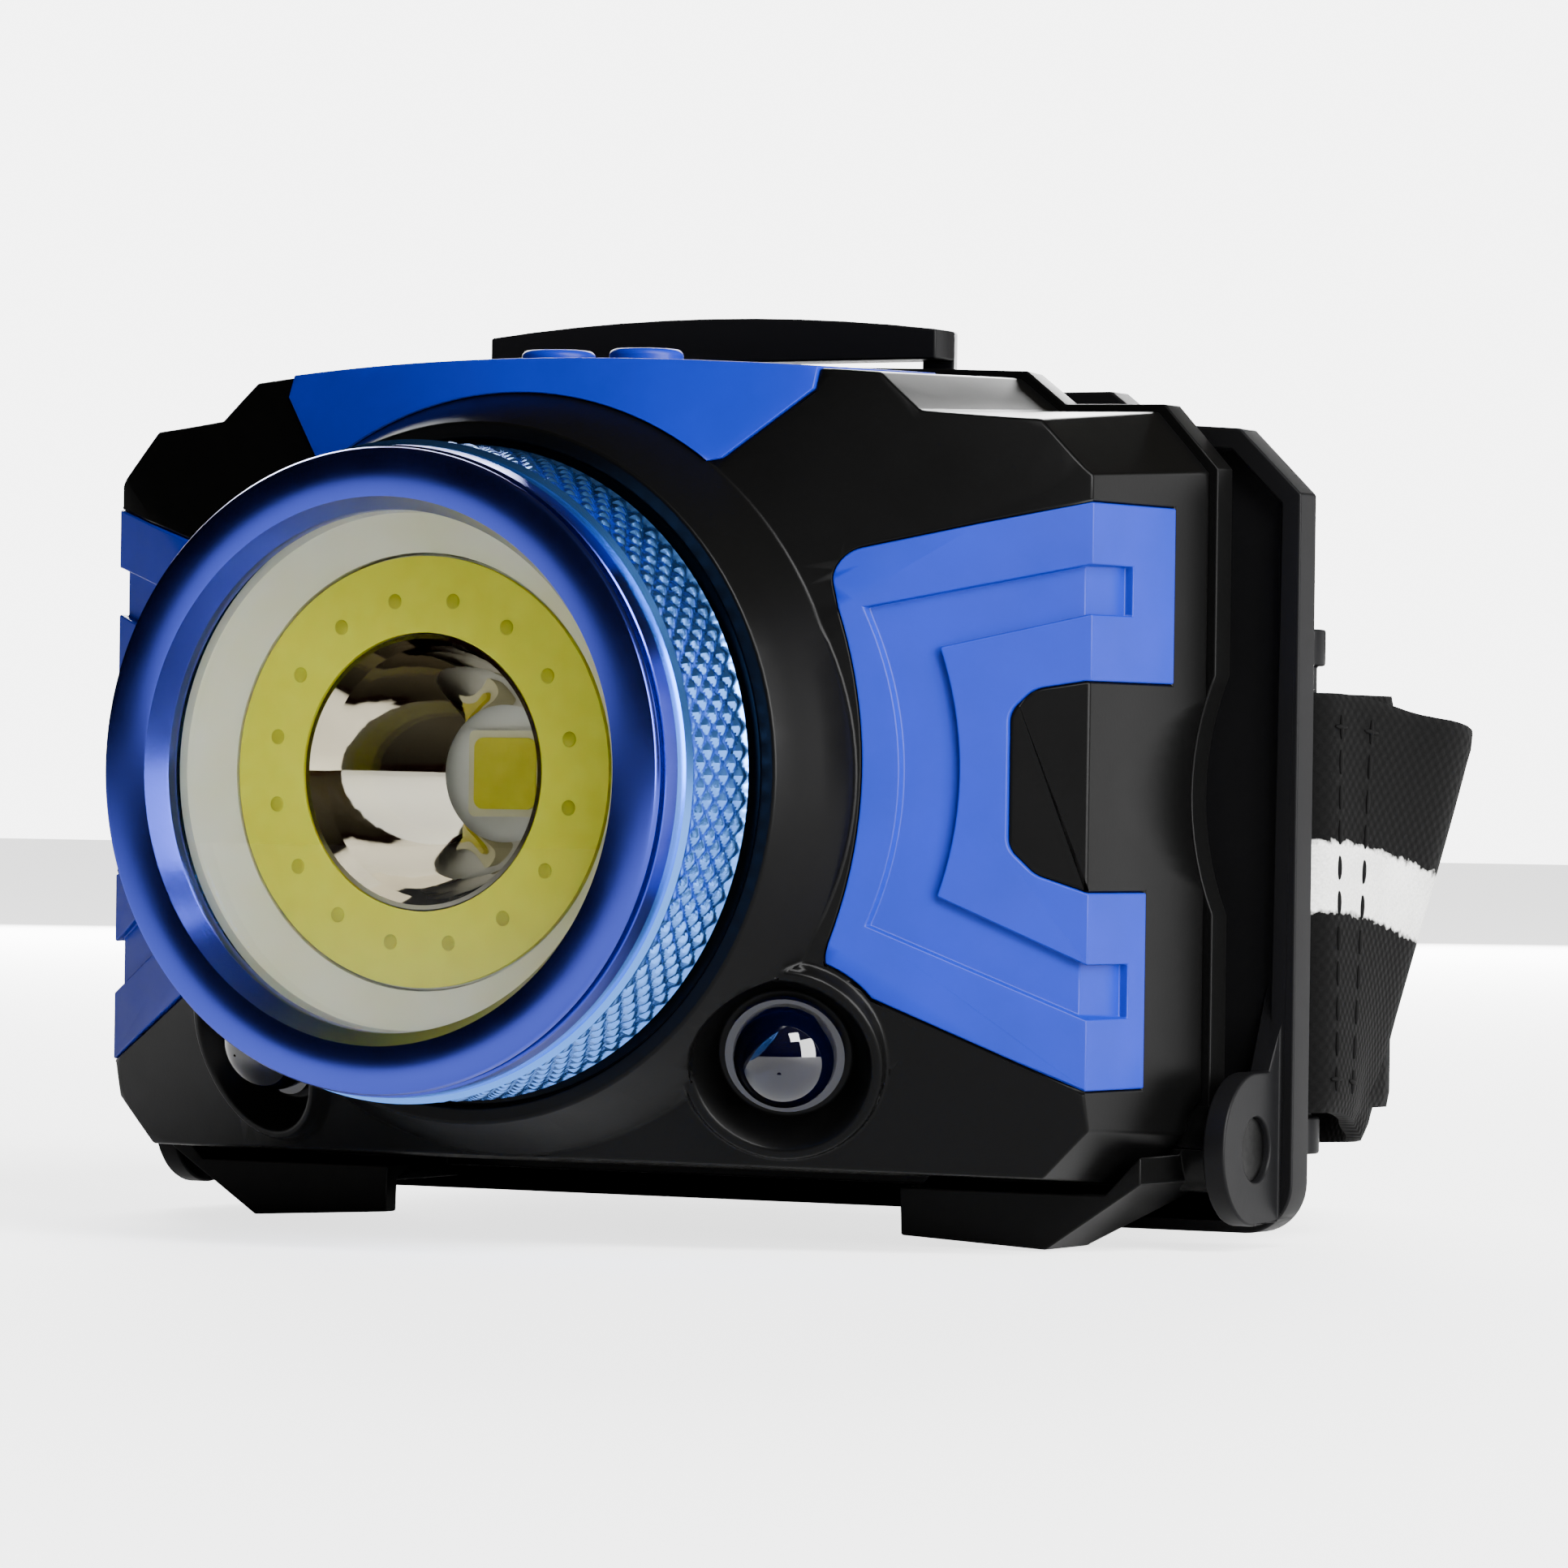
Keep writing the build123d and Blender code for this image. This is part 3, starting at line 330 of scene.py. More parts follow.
# %% Small-part materials
def simple_plastic(name, code, other, roughness, grain=0.3, rise=0.003, **numbers):
    """A plastic with two close tones, a grain and slightly patchy gloss."""
    material, tree, shader = start_material(name, code, IOR=1.5, **numbers)
    drive(shader, "Base Color", ramp(tree, speckle(tree, 4, 3), [(0.35, code), (0.65, other)]))
    drive(shader, "Roughness", spread(tree, speckle(tree, 2.5, 2), roughness * 0.85, roughness * 1.15))
    relief(tree, shader, speckle(tree, grain, 2), rise, 0.4)
    return material


sensor_blue = simple_plastic(
    "Polycarbonate deep blue dome", "#00021c", "#01032a", 0.03, 3, 0.001, Transmission_Weight=0.8,
    Coat_Weight=0.5, Coat_Roughness=0.02,
)
diode_dark = simple_plastic("Epoxy smoked diode", "#07070c", "#0a0a12", 0.12, 2)
seal_black = simple_plastic("Silicone rubber seal, black", "#0b0b0b", "#101010", 0.6)
board_green = simple_plastic("Glass-epoxy board, green mask", "#0f5a2b", "#0c4d24", 0.3, 0.6, 0.004)
mask_white = simple_plastic("White solder mask on aluminium", "#e4e4df", "#d8d8d2", 0.4)
ceramic_cream = simple_plastic("LED package, cream ceramic", "#d8d5b4", "#cfcba4", 0.45)
chip_black = simple_plastic("Epoxy moulded chip", "#101012", "#161618", 0.5)
wire_red = simple_plastic("PVC wire insulation, red", "#a31512", "#8d0f0e", 0.45)
tray_black = simple_plastic("ABS moulded black, inside", "#0c0c0c", "#121212", 0.5)

CELL_LENGTH = 44
cell_wrap, tree, shader = start_material(
    "Cell with printed shrink sleeve", "#1a1a1a", IOR=1.5, Roughness=0.25,
)
across = add(tree, "ShaderNodeSeparateXYZ", {"Vector": place(tree)}).outputs["X"]
share = add(tree, "ShaderNodeMath", {0: across, 1: 1 / (CELL_LENGTH * MM)}, operation="MULTIPLY").outputs[0]
shifted = add(tree, "ShaderNodeMath", {0: spread(tree, share, 0, 1), 1: 0.5}, operation="ADD").outputs[0]
sleeve = ramp(tree, shifted, [(0.0, "#1b1b1d"), (0.3, "#b07a22"), (0.72, "#1b1b1d")], "CONSTANT")
drive(shader, "Base Color", sleeve)
relief(tree, shader, speckle(tree, 3, 2), 0.01, 0.2)
print("small parts ready")

# %% Give the CAD pieces their finish
CAD_FINISH = {
    "lens_window": window_clear, "lens_seal": seal_black, "cover_seal": seal_black,
    "diffuser_bowl": bowl_cream, "cob_board": mask_white, "cob_phosphor": phosphor,
    "reflector": mirror_coat, "led_board": mask_white, "led_package": ceramic_cream,
    "led_phosphor": emitter_yellow, "heat_sink": bare_aluminium, "cob_wires": wire_red,
    "driver_board": board_green, "switch_board": board_green, "driver_chips": chip_black,
    "board_screws": zinc_steel, "push_switches": chip_black, "sensor_lens_left": sensor_blue,
    "sensor_lens_right": sensor_blue, "sensor_diode_left": diode_dark, "sensor_diode_right": diode_dark,
    "battery_tray": tray_black, "battery_cell_1": cell_wrap, "battery_cell_2": cell_wrap,
    "battery_cell_3": cell_wrap, "battery_contacts": nickel_steel, "hinge_pins": blackened_steel,
}
for name, material in CAD_FINISH.items():
    mesh = nodes[name].data
    mesh.materials.clear()
    mesh.materials.append(material)
print("finished in place:", len(CAD_FINISH))

# %% [markdown]
# ## Round the edges
# No moulded edge is knife sharp, and it is the small round that catches a line of light. The CAD
# solids have plain edges, so each visible moulding is copied, its loose triangles are merged back
# into whole faces, and every sharp edge is bevelled. The new faces get the "worn" attribute. Normals
# weighted by face size keep the flats flat, so all the turn of the light falls on the rounds.


# %% Rounded copies of the mouldings
def body_of(node):
    """The CAD body that a node rides on."""
    return next(b for b, names in frame["record"]["behaviour"]["bodies"].items() if node in names)


def settle(piece, name):
    """Applies a piece's modifiers and keeps the resulting mesh."""
    graph = bpy.context.evaluated_depsgraph_get()
    result = bpy.data.meshes.new_from_object(piece.evaluated_get(graph))
    result.name = name
    piece.modifiers.clear()
    piece.data = result
    return piece


def rounded(node, material, width, steps=2, sharp=28):
    """A copy of a CAD node with its edges rounded by width millimetres; it replaces the node."""
    mesh = nodes[node].data.copy()
    work = bmesh.new()
    work.from_mesh(mesh)
    bmesh.ops.remove_doubles(work, verts=work.verts, dist=0.002 * MM)
    bmesh.ops.dissolve_limit(work, angle_limit=radians(0.25), verts=work.verts, edges=work.edges)
    sharp_edges = [
        e for e in work.edges if len(e.link_faces) == 2 and e.calc_face_angle(0) > radians(sharp)
    ]
    made = bmesh.ops.bevel(
        work, geom=sharp_edges, offset=width * MM, segments=steps, profile=0.5, affect="EDGES",
        clamp_overlap=False, offset_type="WIDTH",
    )
    worn = work.faces.layers.float.new("worn")
    for face in made["faces"]:
        if face.is_valid:
            face[worn] = 1.0
    for face in work.faces:
        face.smooth = True
    work.to_mesh(mesh)
    work.free()
    mesh.materials.clear()
    mesh.materials.append(material)
    mesh.set_sharp_from_angle(angle=radians(40))
    piece = bpy.data.objects.new(f"{node}_rounded", mesh)
    bpy.context.collection.objects.link(piece)
    shading = piece.modifiers.new("weighted normals", "WEIGHTED_NORMAL")
    shading.keep_sharp = True
    settle(piece, f"{node}_rounded")
    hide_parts(node)
    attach(piece, body_of(node))
    return piece


ROUNDED = [
    ("front_shell", case_black, 0.3), ("rear_cover", cover_black, 0.18),
    ("back_plate", plate_black, 0.22), ("side_grip_left", grip_blue, 0.16),
    ("side_grip_right", grip_blue, 0.16), ("top_grip", grip_blue, 0.12),
    ("button_main", button_blue, 0.1), ("button_sensor", button_blue, 0.1),
    ("strap_slider", plate_black, 0.3),
]
for node, material, width in ROUNDED:
    piece = rounded(node, material, width)
    print(piece.name, len(piece.data.polygons), "faces")

# %% [markdown]
# ## The knurled bezel
# On the real ring the knurl is rolled in by two wheels whose lines cross, which leaves rows of small
# diamonds. The plain ring is a lathe profile here, and Geometry Nodes press the two families of
# V-shaped lines into its middle band. The inputs have the real sizes: how many lines go round, how
# long a diamond is, and how deep the wheel bites.


# %% Lathe profile of the bezel
def lathe(name, profile, steps, material):
    """Turns a closed (radius, depth) profile about the lamp's axis."""
    mesh = bpy.data.meshes.new(name)
    work = bmesh.new()
    rings = []
    for number in range(steps):
        angle = tau * number / steps
        rings.append([
            work.verts.new((r * MM * cos(angle), back(d), r * MM * sin(angle))) for r, d in profile
        ])
    count = len(profile)
    for number in range(steps):
        here, there = rings[number], rings[(number + 1) % steps]
        for k in range(count):
            work.faces.new((here[k], here[(k + 1) % count], there[(k + 1) % count], there[k]))
    bmesh.ops.recalc_face_normals(work, faces=work.faces)
    for face in work.faces:
        face.smooth = True
    work.to_mesh(mesh)
    work.free()
    mesh.materials.append(material)
    piece = bpy.data.objects.new(name, mesh)
    bpy.context.collection.objects.link(piece)
    return piece


KNURL_R = 18.85
KNURL_FIRST = 3.2
KNURL_LAST = 9.5
KNURL_LINES = 84
DIAMOND_LENGTH = 1.75
BITE = 0.3
ROWS = 40
front_profile = [
    (15.5, 0.03), (15.56, 0.0), (18.02, 0.0), (18.2, 0.08), (18.29, 0.25), (18.3, 0.46), (18.24, 0.52),
    (18.02, 0.56), (18.0, 0.62), (18.0, 0.84), (18.06, 0.9), (18.36, 0.94), (18.42, 1.0), (18.48, 2.1),
    (18.5, 3.0), (KNURL_R, KNURL_FIRST),
]
knurl_profile = [
    (KNURL_R, KNURL_FIRST + (KNURL_LAST - KNURL_FIRST) * k / ROWS) for k in range(1, ROWS)
]
rear_profile = [
    (KNURL_R, KNURL_LAST), (18.55, 9.75), (18.4, 10.0), (17.25, 10.0), (17.2, 9.9), (17.2, 2.45),
    (14.9, 2.4), (14.8, 2.3), (14.8, 1.5), (14.83, 1.44),
]
STEPS_PER_LINE = 8
bezel = lathe(
    "bezel_knurled", front_profile + knurl_profile + rear_profile, KNURL_LINES * STEPS_PER_LINE, knurl_blue_painted_light,
)
print("bezel blank", len(bezel.data.polygons), "faces")


# %% Geometry Nodes that roll the knurl
def new_tree(name, inputs):
    """An empty geometry tree with a Geometry socket and named number or material inputs."""
    tree = bpy.data.node_groups.new(name, "GeometryNodeTree")
    tree.interface.new_socket("Geometry", in_out="INPUT", socket_type="NodeSocketGeometry")
    tree.interface.new_socket("Geometry", in_out="OUTPUT", socket_type="NodeSocketGeometry")
    for label, kind in inputs.items():
        tree.interface.new_socket(label, in_out="INPUT", socket_type=kind)
    return tree, tree.nodes.new("NodeGroupInput"), tree.nodes.new("NodeGroupOutput")


def maths(tree, operation, first, second=0.0, third=None):
    """One Math node's output."""
    inputs = {0: first, 1: second}
    if third is not None:
        inputs[2] = third
    return add(tree, "ShaderNodeMath", inputs, operation=operation).outputs[0]


def run_tree(piece, tree, values):
    """Runs a geometry tree on a piece with the given inputs and leaves the result as a plain mesh."""
    modifier = piece.modifiers.new(tree.name, "NODES")
    modifier.node_group = tree
    for item in tree.interface.items_tree:
        if item.in_out == "INPUT" and item.name in values:
            modifier[item.identifier] = values[item.name]
    graph = bpy.context.evaluated_depsgraph_get()
    result = bpy.data.meshes.new_from_object(piece.evaluated_get(graph))
    piece.modifiers.remove(modifier)
    piece.data = result
    return piece


tree, source, result = new_tree("roll the knurl", {
    "Lines": "NodeSocketFloat", "Diamond length": "NodeSocketFloat", "Bite": "NodeSocketFloat",
    "Radius": "NodeSocketFloat", "Middle": "NodeSocketFloat", "Half width": "NodeSocketFloat",
    "Metal": "NodeSocketMaterial",
})
point = add(tree, "ShaderNodeSeparateXYZ", {0: add(tree, "GeometryNodeInputPosition").outputs[0]})
turn = maths(tree, "ARCTAN2", point.outputs["Z"], point.outputs["X"])
round_count = maths(tree, "MULTIPLY", maths(tree, "DIVIDE", turn, tau), source.outputs["Lines"])
along = maths(tree, "SUBTRACT", point.outputs["Y"], source.outputs["Middle"])
along_count = maths(tree, "DIVIDE", along, source.outputs["Diamond length"])
cuts = []
for sign in (1.0, -1.0):
    line = maths(tree, "ADD", round_count, maths(tree, "MULTIPLY", along_count, sign))
    away = maths(tree, "ABSOLUTE", maths(tree, "SUBTRACT", maths(tree, "FRACT", line), 0.5))
    cuts.append(maths(tree, "MULTIPLY", away, 2.0))
vee = maths(tree, "MAXIMUM", cuts[0], cuts[1])
sharpened = maths(tree, "POWER", vee, 1.8)
radius_here = add(
    tree, "ShaderNodeVectorMath",
    {0: add(tree, "ShaderNodeCombineXYZ", {"X": point.outputs["X"], "Z": point.outputs["Z"]}).outputs[0]},
    operation="LENGTH",
).outputs["Value"]
least_radius = maths(tree, "SUBTRACT", source.outputs["Radius"], 0.01 * MM)
on_band = maths(tree, "GREATER_THAN", radius_here, least_radius)
across_band = maths(tree, "DIVIDE", maths(tree, "ABSOLUTE", along), source.outputs["Half width"])
edge_fade = maths(tree, "SUBTRACT", 1.0, maths(tree, "POWER", across_band, 12.0))
depth = maths(tree, "MULTIPLY", maths(tree, "MULTIPLY", sharpened, source.outputs["Bite"]), on_band)
depth = maths(tree, "MULTIPLY", depth, edge_fade)
inward = add(
    tree, "ShaderNodeVectorMath",
    {0: add(tree, "ShaderNodeCombineXYZ", {"X": point.outputs["X"], "Z": point.outputs["Z"]}).outputs[0]},
    operation="NORMALIZE",
).outputs[0]
less = maths(tree, "MULTIPLY", depth, -1.0)
push = add(tree, "ShaderNodeVectorMath", {0: inward, "Scale": less}, operation="SCALE").outputs[0]
moved = add(tree, "GeometryNodeSetPosition", {"Geometry": source.outputs["Geometry"], "Offset": push})
real = add(tree, "GeometryNodeRealizeInstances", {0: moved.outputs[0]})
made = add(tree, "GeometryNodeSetMaterial", {0: real.outputs[0], "Material": source.outputs["Metal"]})
tree.links.new(made.outputs[0], result.inputs[0])
run_tree(bezel, tree, {
    "Lines": float(KNURL_LINES), "Diamond length": DIAMOND_LENGTH * MM, "Bite": BITE * MM,
    "Radius": KNURL_R * MM, "Middle": back((KNURL_FIRST + KNURL_LAST) / 2),
    "Half width": (KNURL_LAST - KNURL_FIRST) / 2 * MM, "Metal": knurl_blue_painted_light,
})
bezel.data.materials.append(face_blue_painted_shade)
# Faces near the front take the darker copy of the blue, the painted shade.
for polygon in bezel.data.polygons:
    polygon.use_smooth = True
    if polygon.center.y < back(2.2):
        polygon.material_index = 1
bezel.data.set_sharp_from_angle(angle=radians(32))
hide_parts("bezel_ring")
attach(bezel, "head")
print("knurled bezel", len(bezel.data.polygons), "faces")

# %% [markdown]
# ## Dots on the ring light
# Each chip under the phosphor lifts it a little, so the ring carries an even circle of low dots.
# Geometry Nodes put one small lens-shaped dot on each place of the circle.

# %% Dots by Geometry Nodes
DOT_RING_R = 9.9
DOT_COUNT = 16
DOT_R = 0.44
DOT_RISE = 0.1
COB_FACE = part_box("cob_phosphor")[0][1]
tree, source, result = new_tree("dots on a ring", {
    "Ring radius": "NodeSocketFloat", "Count": "NodeSocketInt", "Dot radius": "NodeSocketFloat",
    "Rise": "NodeSocketFloat", "Face": "NodeSocketFloat", "Silicone": "NodeSocketMaterial",
})
ring = add(
    tree, "GeometryNodeMeshCircle",
    {"Vertices": source.outputs["Count"], "Radius": source.outputs["Ring radius"]}, fill_type="NONE",
)
half_step = maths(tree, "DIVIDE", pi, source.outputs["Count"])
turned_by = add(tree, "ShaderNodeCombineXYZ", {"Z": half_step}).outputs[0]
stand = add(tree, "GeometryNodeTransform", {"Geometry": ring.outputs[0], "Rotation": turned_by})
dot = add(
    tree, "GeometryNodeMeshUVSphere",
    {"Segments": 20, "Rings": 10, "Radius": source.outputs["Dot radius"]},
)
flat_by = maths(tree, "DIVIDE", source.outputs["Rise"], source.outputs["Dot radius"])
flat = add(tree, "ShaderNodeCombineXYZ", {"X": 1.0, "Y": 1.0, "Z": flat_by}).outputs[0]
low_dot = add(tree, "GeometryNodeTransform", {"Geometry": dot.outputs[0], "Scale": flat})
spots = add(
    tree, "GeometryNodeInstanceOnPoints", {"Points": stand.outputs[0], "Instance": low_dot.outputs[0]},
)
upright = add(
    tree, "GeometryNodeTransform",
    {"Geometry": spots.outputs[0], "Rotation": (pi / 2, 0, 0),
     "Translation": add(tree, "ShaderNodeCombineXYZ", {"Y": source.outputs["Face"]}).outputs[0]},
)
real = add(tree, "GeometryNodeRealizeInstances", {0: upright.outputs[0]})
made = add(tree, "GeometryNodeSetMaterial", {0: real.outputs[0], "Material": source.outputs["Silicone"]})
tree.links.new(made.outputs[0], result.inputs[0])
dots = bpy.data.objects.new("cob_dots", bpy.data.meshes.new("cob_dots"))
bpy.context.collection.objects.link(dots)
run_tree(dots, tree, {
    "Ring radius": DOT_RING_R * MM, "Count": DOT_COUNT, "Dot radius": DOT_R * MM, "Rise": DOT_RISE * MM,
    "Face": COB_FACE, "Silicone": phosphor_dot,
})
for polygon in dots.data.polygons:
    polygon.use_smooth = True
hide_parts("cob_chips")
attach(dots, "head")
print("dots", len(dots.data.polygons), "faces")

# %% [markdown]
# ## The elastic strap
# The strap is 25 mm of knitted elastic with a pale stripe. Each end goes round a bar on the back
# plate and is sewn to itself, and the spare length lies folded behind the plate. Webbing keeps its
# width and bends only one way, so it is made as a ribbon: a route seen from above, a height that
# droops where nothing holds it, and a lean that turns the ribbon's top outwards at the first fold.


# %% The strap's route
STRAP_WIDTH = 25.0
STRAP_THICK = 1.4
BAR_X = 34.9
BAR_BACK = 48.0  # depth of the bars
BAR_Z = -7.0
WRAP_R = 2.05
LEAVE_X = BAR_X + WRAP_R
SIDE_X = 37.6
FOLD_R = 3.0
SEWN = 10.5
OUTER_RUN = 13.5  # the outermost run is this far behind the bars
LAST_RUN = 45
FOLD_ROUTE = [
    (SIDE_X, OUTER_RUN), (-27, OUTER_RUN), (-27, 24), (22, 24), (22, 31), (-27, 31), (-27, 38), (17, 38),
    (17, LAST_RUN), (-SIDE_X, LAST_RUN),
]


def rounded_route(corners, radius):
    """Points along straight runs whose inner corners are turned into arcs."""
    points = [Vector(corners[0])]
    for before, corner, after in zip(corners, corners[1:], corners[2:]):
        corner, to_before, to_after = Vector(corner), Vector(before), Vector(after)
        one, two = (to_before - corner).normalized(), (to_after - corner).normalized()
        half = one.angle(two) / 2
        reach = radius / tan(half)
        centre = corner + (one + two).normalized() * radius / sin(half)
        first, last = corner + one * reach - centre, corner + two * reach - centre
        sweep = first.angle_signed(last)
        for step in range(9):
            points.append(centre + Matrix.Rotation(-sweep * step / 8, 2) @ first)
    points.append(Vector(corners[-1]))
    return points


def wrap_round_bar(side):
    """The sewn tail and the turn round one bar, ending where the strap leaves the bar."""
    lean = (SIDE_X - LEAVE_X) / (OUTER_RUN if side > 0 else LAST_RUN)
    tail_gap = STRAP_THICK + 0.12
    tail = [Vector((LEAVE_X + lean * v - tail_gap, v)) for v in (SEWN, 8.0, 5.0)]
    angles = [pi * k / 12 for k in range(-1, 13)]
    turn = [Vector((BAR_X - WRAP_R * cos(a), -WRAP_R * sin(a))) for a in angles]
    return [Vector((side * p.x, p.y)) for p in tail + turn]


right_end = wrap_round_bar(1)
left_end = wrap_round_bar(-1)
middle = rounded_route([(LEAVE_X, 0), *FOLD_ROUTE, (-LEAVE_X, 0)], FOLD_R)
corners = right_end + middle[1:-1] + left_end[::-1]
lengths = [0.0]
for first, second in zip(corners, corners[1:]):
    lengths.append(lengths[-1] + (second - first).length)
STRAP_LENGTH = lengths[-1]
print("strap length in mm", round(STRAP_LENGTH, 1))


# %% The strap's surface
def on_route(distance):
    """Point of the route in plan at a distance along it in millimetres."""
    distance = min(max(distance, 0.0), STRAP_LENGTH - 1e-6)
    k = next(i for i in range(len(lengths) - 1) if lengths[i + 1] >= distance)
    share = (distance - lengths[k]) / (lengths[k + 1] - lengths[k])
    return corners[k].lerp(corners[k + 1], share)


def ease(value):
    """Smooth step from 0 to 1."""
    value = min(max(value, 0.0), 1.0)
    return value * value * (3 - 2 * value)


START = sum((b - a).length for a, b in zip(right_end, right_end[1:]))  # where it leaves the right bar
FINISH = STRAP_LENGTH - START


SAG = 2.6  # how far the free strap hangs below the bars
LEAN_OUT = 0.24
LEAN_BACK = 0.2
RIPPLE = 0.14
RIPPLE_PITCH = 5.3
CURL = 0.16
CURL_PITCH = 9.1


def on_strap(distance, across, rise):
    """A point of the strap: distance along, across from its top edge, and rise out of its middle."""
    here = on_route(distance)
    ahead = (on_route(distance + 0.6) - on_route(distance - 0.6)).normalized()
    out = Vector((ahead.y, -ahead.x))
    droop = ease((distance - START) / 17) - ease((distance - FINISH + 30) / 30)
    fold = ease((distance - START) / 15) * (1 - ease((distance - START - 24) / 40))
    height = BAR_Z - SAG * droop
    offset = STRAP_WIDTH / 2 - across
    edge = abs(offset) / (STRAP_WIDTH / 2)
    ripple = RIPPLE * edge**4 * sin(distance * tau / RIPPLE_PITCH + (1.3 if offset > 0 else 0.2))
    free = ease((distance - START - 2) / 8) * ease((FINISH - distance - 2) / 8)
    level = rise + ripple * free
    x = here.x + out.x * level + LEAN_OUT * fold * offset
    y = here.y + out.y * level + LEAN_BACK * fold * offset
    lift = CURL * edge**3 * sin(distance * tau / CURL_PITCH + 0.7) * free * (1 if offset > 0 else -1)
    return (x * MM, back(BAR_BACK + y), (height + offset + lift) * MM)


STATION_STEP = 0.9
STATIONS = int(STRAP_LENGTH / STATION_STEP)
COLUMNS = 26
SELVEDGE = 0.5  # the edges are woven thinner over this width
mesh = bpy.data.meshes.new("elastic_strap")
work = bmesh.new()
uv = work.loops.layers.uv.new("weave")
grid = {}
ring = [(STRAP_WIDTH * c / COLUMNS, STRAP_THICK / 2) for c in range(COLUMNS + 1)]
ring += [(across, -rise) for across, rise in reversed(ring)]
for station in range(STATIONS + 1):
    distance = STRAP_LENGTH * station / STATIONS
    for number, (across, rise) in enumerate(ring):
        edge = min(across, STRAP_WIDTH - across)
        thin = 1.0 if edge > SELVEDGE else 0.72
        grid[station, number] = work.verts.new(on_strap(distance, across, rise * thin))


def strap_face(keys, marks):
    """One face of the strap with its weave coordinates in metres."""
    face = work.faces.new([grid[key] for key in keys])
    face.smooth = True
    for loop, mark in zip(face.loops, marks):
        loop[uv].uv = (mark[0] * MM, mark[1] * MM)


for station in range(STATIONS):
    along = [STRAP_LENGTH * k / STATIONS for k in (station, station + 1)]
    for number in range(len(ring)):
        following = (number + 1) % len(ring)
        strap_face(
            [(station, number), (station + 1, number), (station + 1, following), (station, following)],
            [(along[0], ring[number][0]), (along[1], ring[number][0]),
             (along[1], ring[following][0]), (along[0], ring[following][0])],
        )
for station in (0, STATIONS):
    for number in range(COLUMNS):
        other = len(ring) - 1 - number
        near, far = ring[number][0], ring[number + 1][0]
        strap_face(
            [(station, number), (station, number + 1), (station, other - 1), (station, other)],
            [(0, near), (0, far), (0, far), (0, near)],
        )
bmesh.ops.recalc_face_normals(work, faces=work.faces)
work.to_mesh(mesh)
work.free()
strap = bpy.data.objects.new("elastic_strap", mesh)
bpy.context.collection.objects.link(strap)
print("strap faces", len(mesh.polygons))

# %% [markdown]
# Elastic is knitted polyester over rubber threads. The knit shows as fine ribs along the strap with
# a cross step about every 0.7 mm, and loose fibres blur the border of the pale stripe, so the
# stripe's edge is shaken by noise. A little sheen stands for the fuzz.

# %% Knitted elastic
elastic, tree, shader = start_material(
    "Polyester elastic, knitted, black with a pale stripe", "#0b0b0b", IOR=1.5, Specular_IOR_Level=0.1,
    Roughness=0.95, Sheen_Weight=0.02, Sheen_Roughness=0.5,
)
RIB = 0.85
STEP = 0.7
STRIPE_FROM = 8.9
STRIPE_WIDE = 4.1
flat = add(tree, "ShaderNodeUVMap", uv_map="weave")
axes = add(tree, "ShaderNodeSeparateXYZ", {0: flat.outputs[0]})
ribs = maths(tree, "SINE", maths(tree, "MULTIPLY", axes.outputs["Y"], tau / (RIB * MM)))
steps = maths(tree, "SINE", maths(tree, "MULTIPLY", axes.outputs["X"], tau / (STEP * MM)))
knit = maths(tree, "MULTIPLY", ribs, steps)
fuzz = speckle(tree, 0.16, 4, flat.outputs[0])
blotch = speckle(tree, 3, 4, flat.outputs[0])
shake = spread(tree, speckle(tree, 0.5, 3, flat.outputs[0]), -0.5 * MM, 0.5 * MM)
shaken = maths(tree, "ADD", axes.outputs["Y"], shake)
middle_of_stripe = (STRIPE_FROM + STRIPE_WIDE / 2) * MM
away = maths(tree, "ABSOLUTE", maths(tree, "SUBTRACT", shaken, middle_of_stripe))
half_stripe = STRIPE_WIDE / 2 * MM
soft = 0.15 * MM
in_stripe = add(
    tree, "ShaderNodeMapRange",
    {"Value": away, "From Min": half_stripe + soft, "From Max": half_stripe - soft},
).outputs[0]
dark = ramp(tree, fuzz, [(0.3, "#000000"), (0.75, "#040404")])
pale = ramp(tree, maths(tree, "MULTIPLY_ADD", fuzz, 0.6, maths(tree, "MULTIPLY", blotch, 0.4)),
            [(0.3, "#bcbcb9"), (0.6, "#e0e0dd")])
yarn = add(tree, "ShaderNodeMix", {"Factor": in_stripe, 6: dark, 7: pale}, data_type="RGBA")
drive(shader, "Base Color", yarn.outputs[2])
relief(tree, shader, maths(tree, "ADD", knit, maths(tree, "MULTIPLY", fuzz, 1.2)), 0.035, 0.7)
strap.data.materials.append(elastic)
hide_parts("head_strap")
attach(strap, "plate")
print("strap declared, stripe", STRIPE_WIDE, "mm")

# %% [markdown]
# ## Stitches
# Each end of the strap is closed with a box of stitches. A stitch is a short thick thread, and there
# are dozens, so Geometry Nodes walk along the sewing line and set one down every pitch.

# %% Stitches by Geometry Nodes
thread = simple_plastic(
    "Polyester thread, black", "#050505", "#0b0b0b", 0.85, 0.1, 0.01, Specular_IOR_Level=0.1,
)
STITCH_PITCH = 2.1
STITCH_LONG = 1.5
STITCH_THICK = 0.32
SEAM_INSET = 2.0  # from the strap's edges to the box
THREAD_PROUD = 0.04


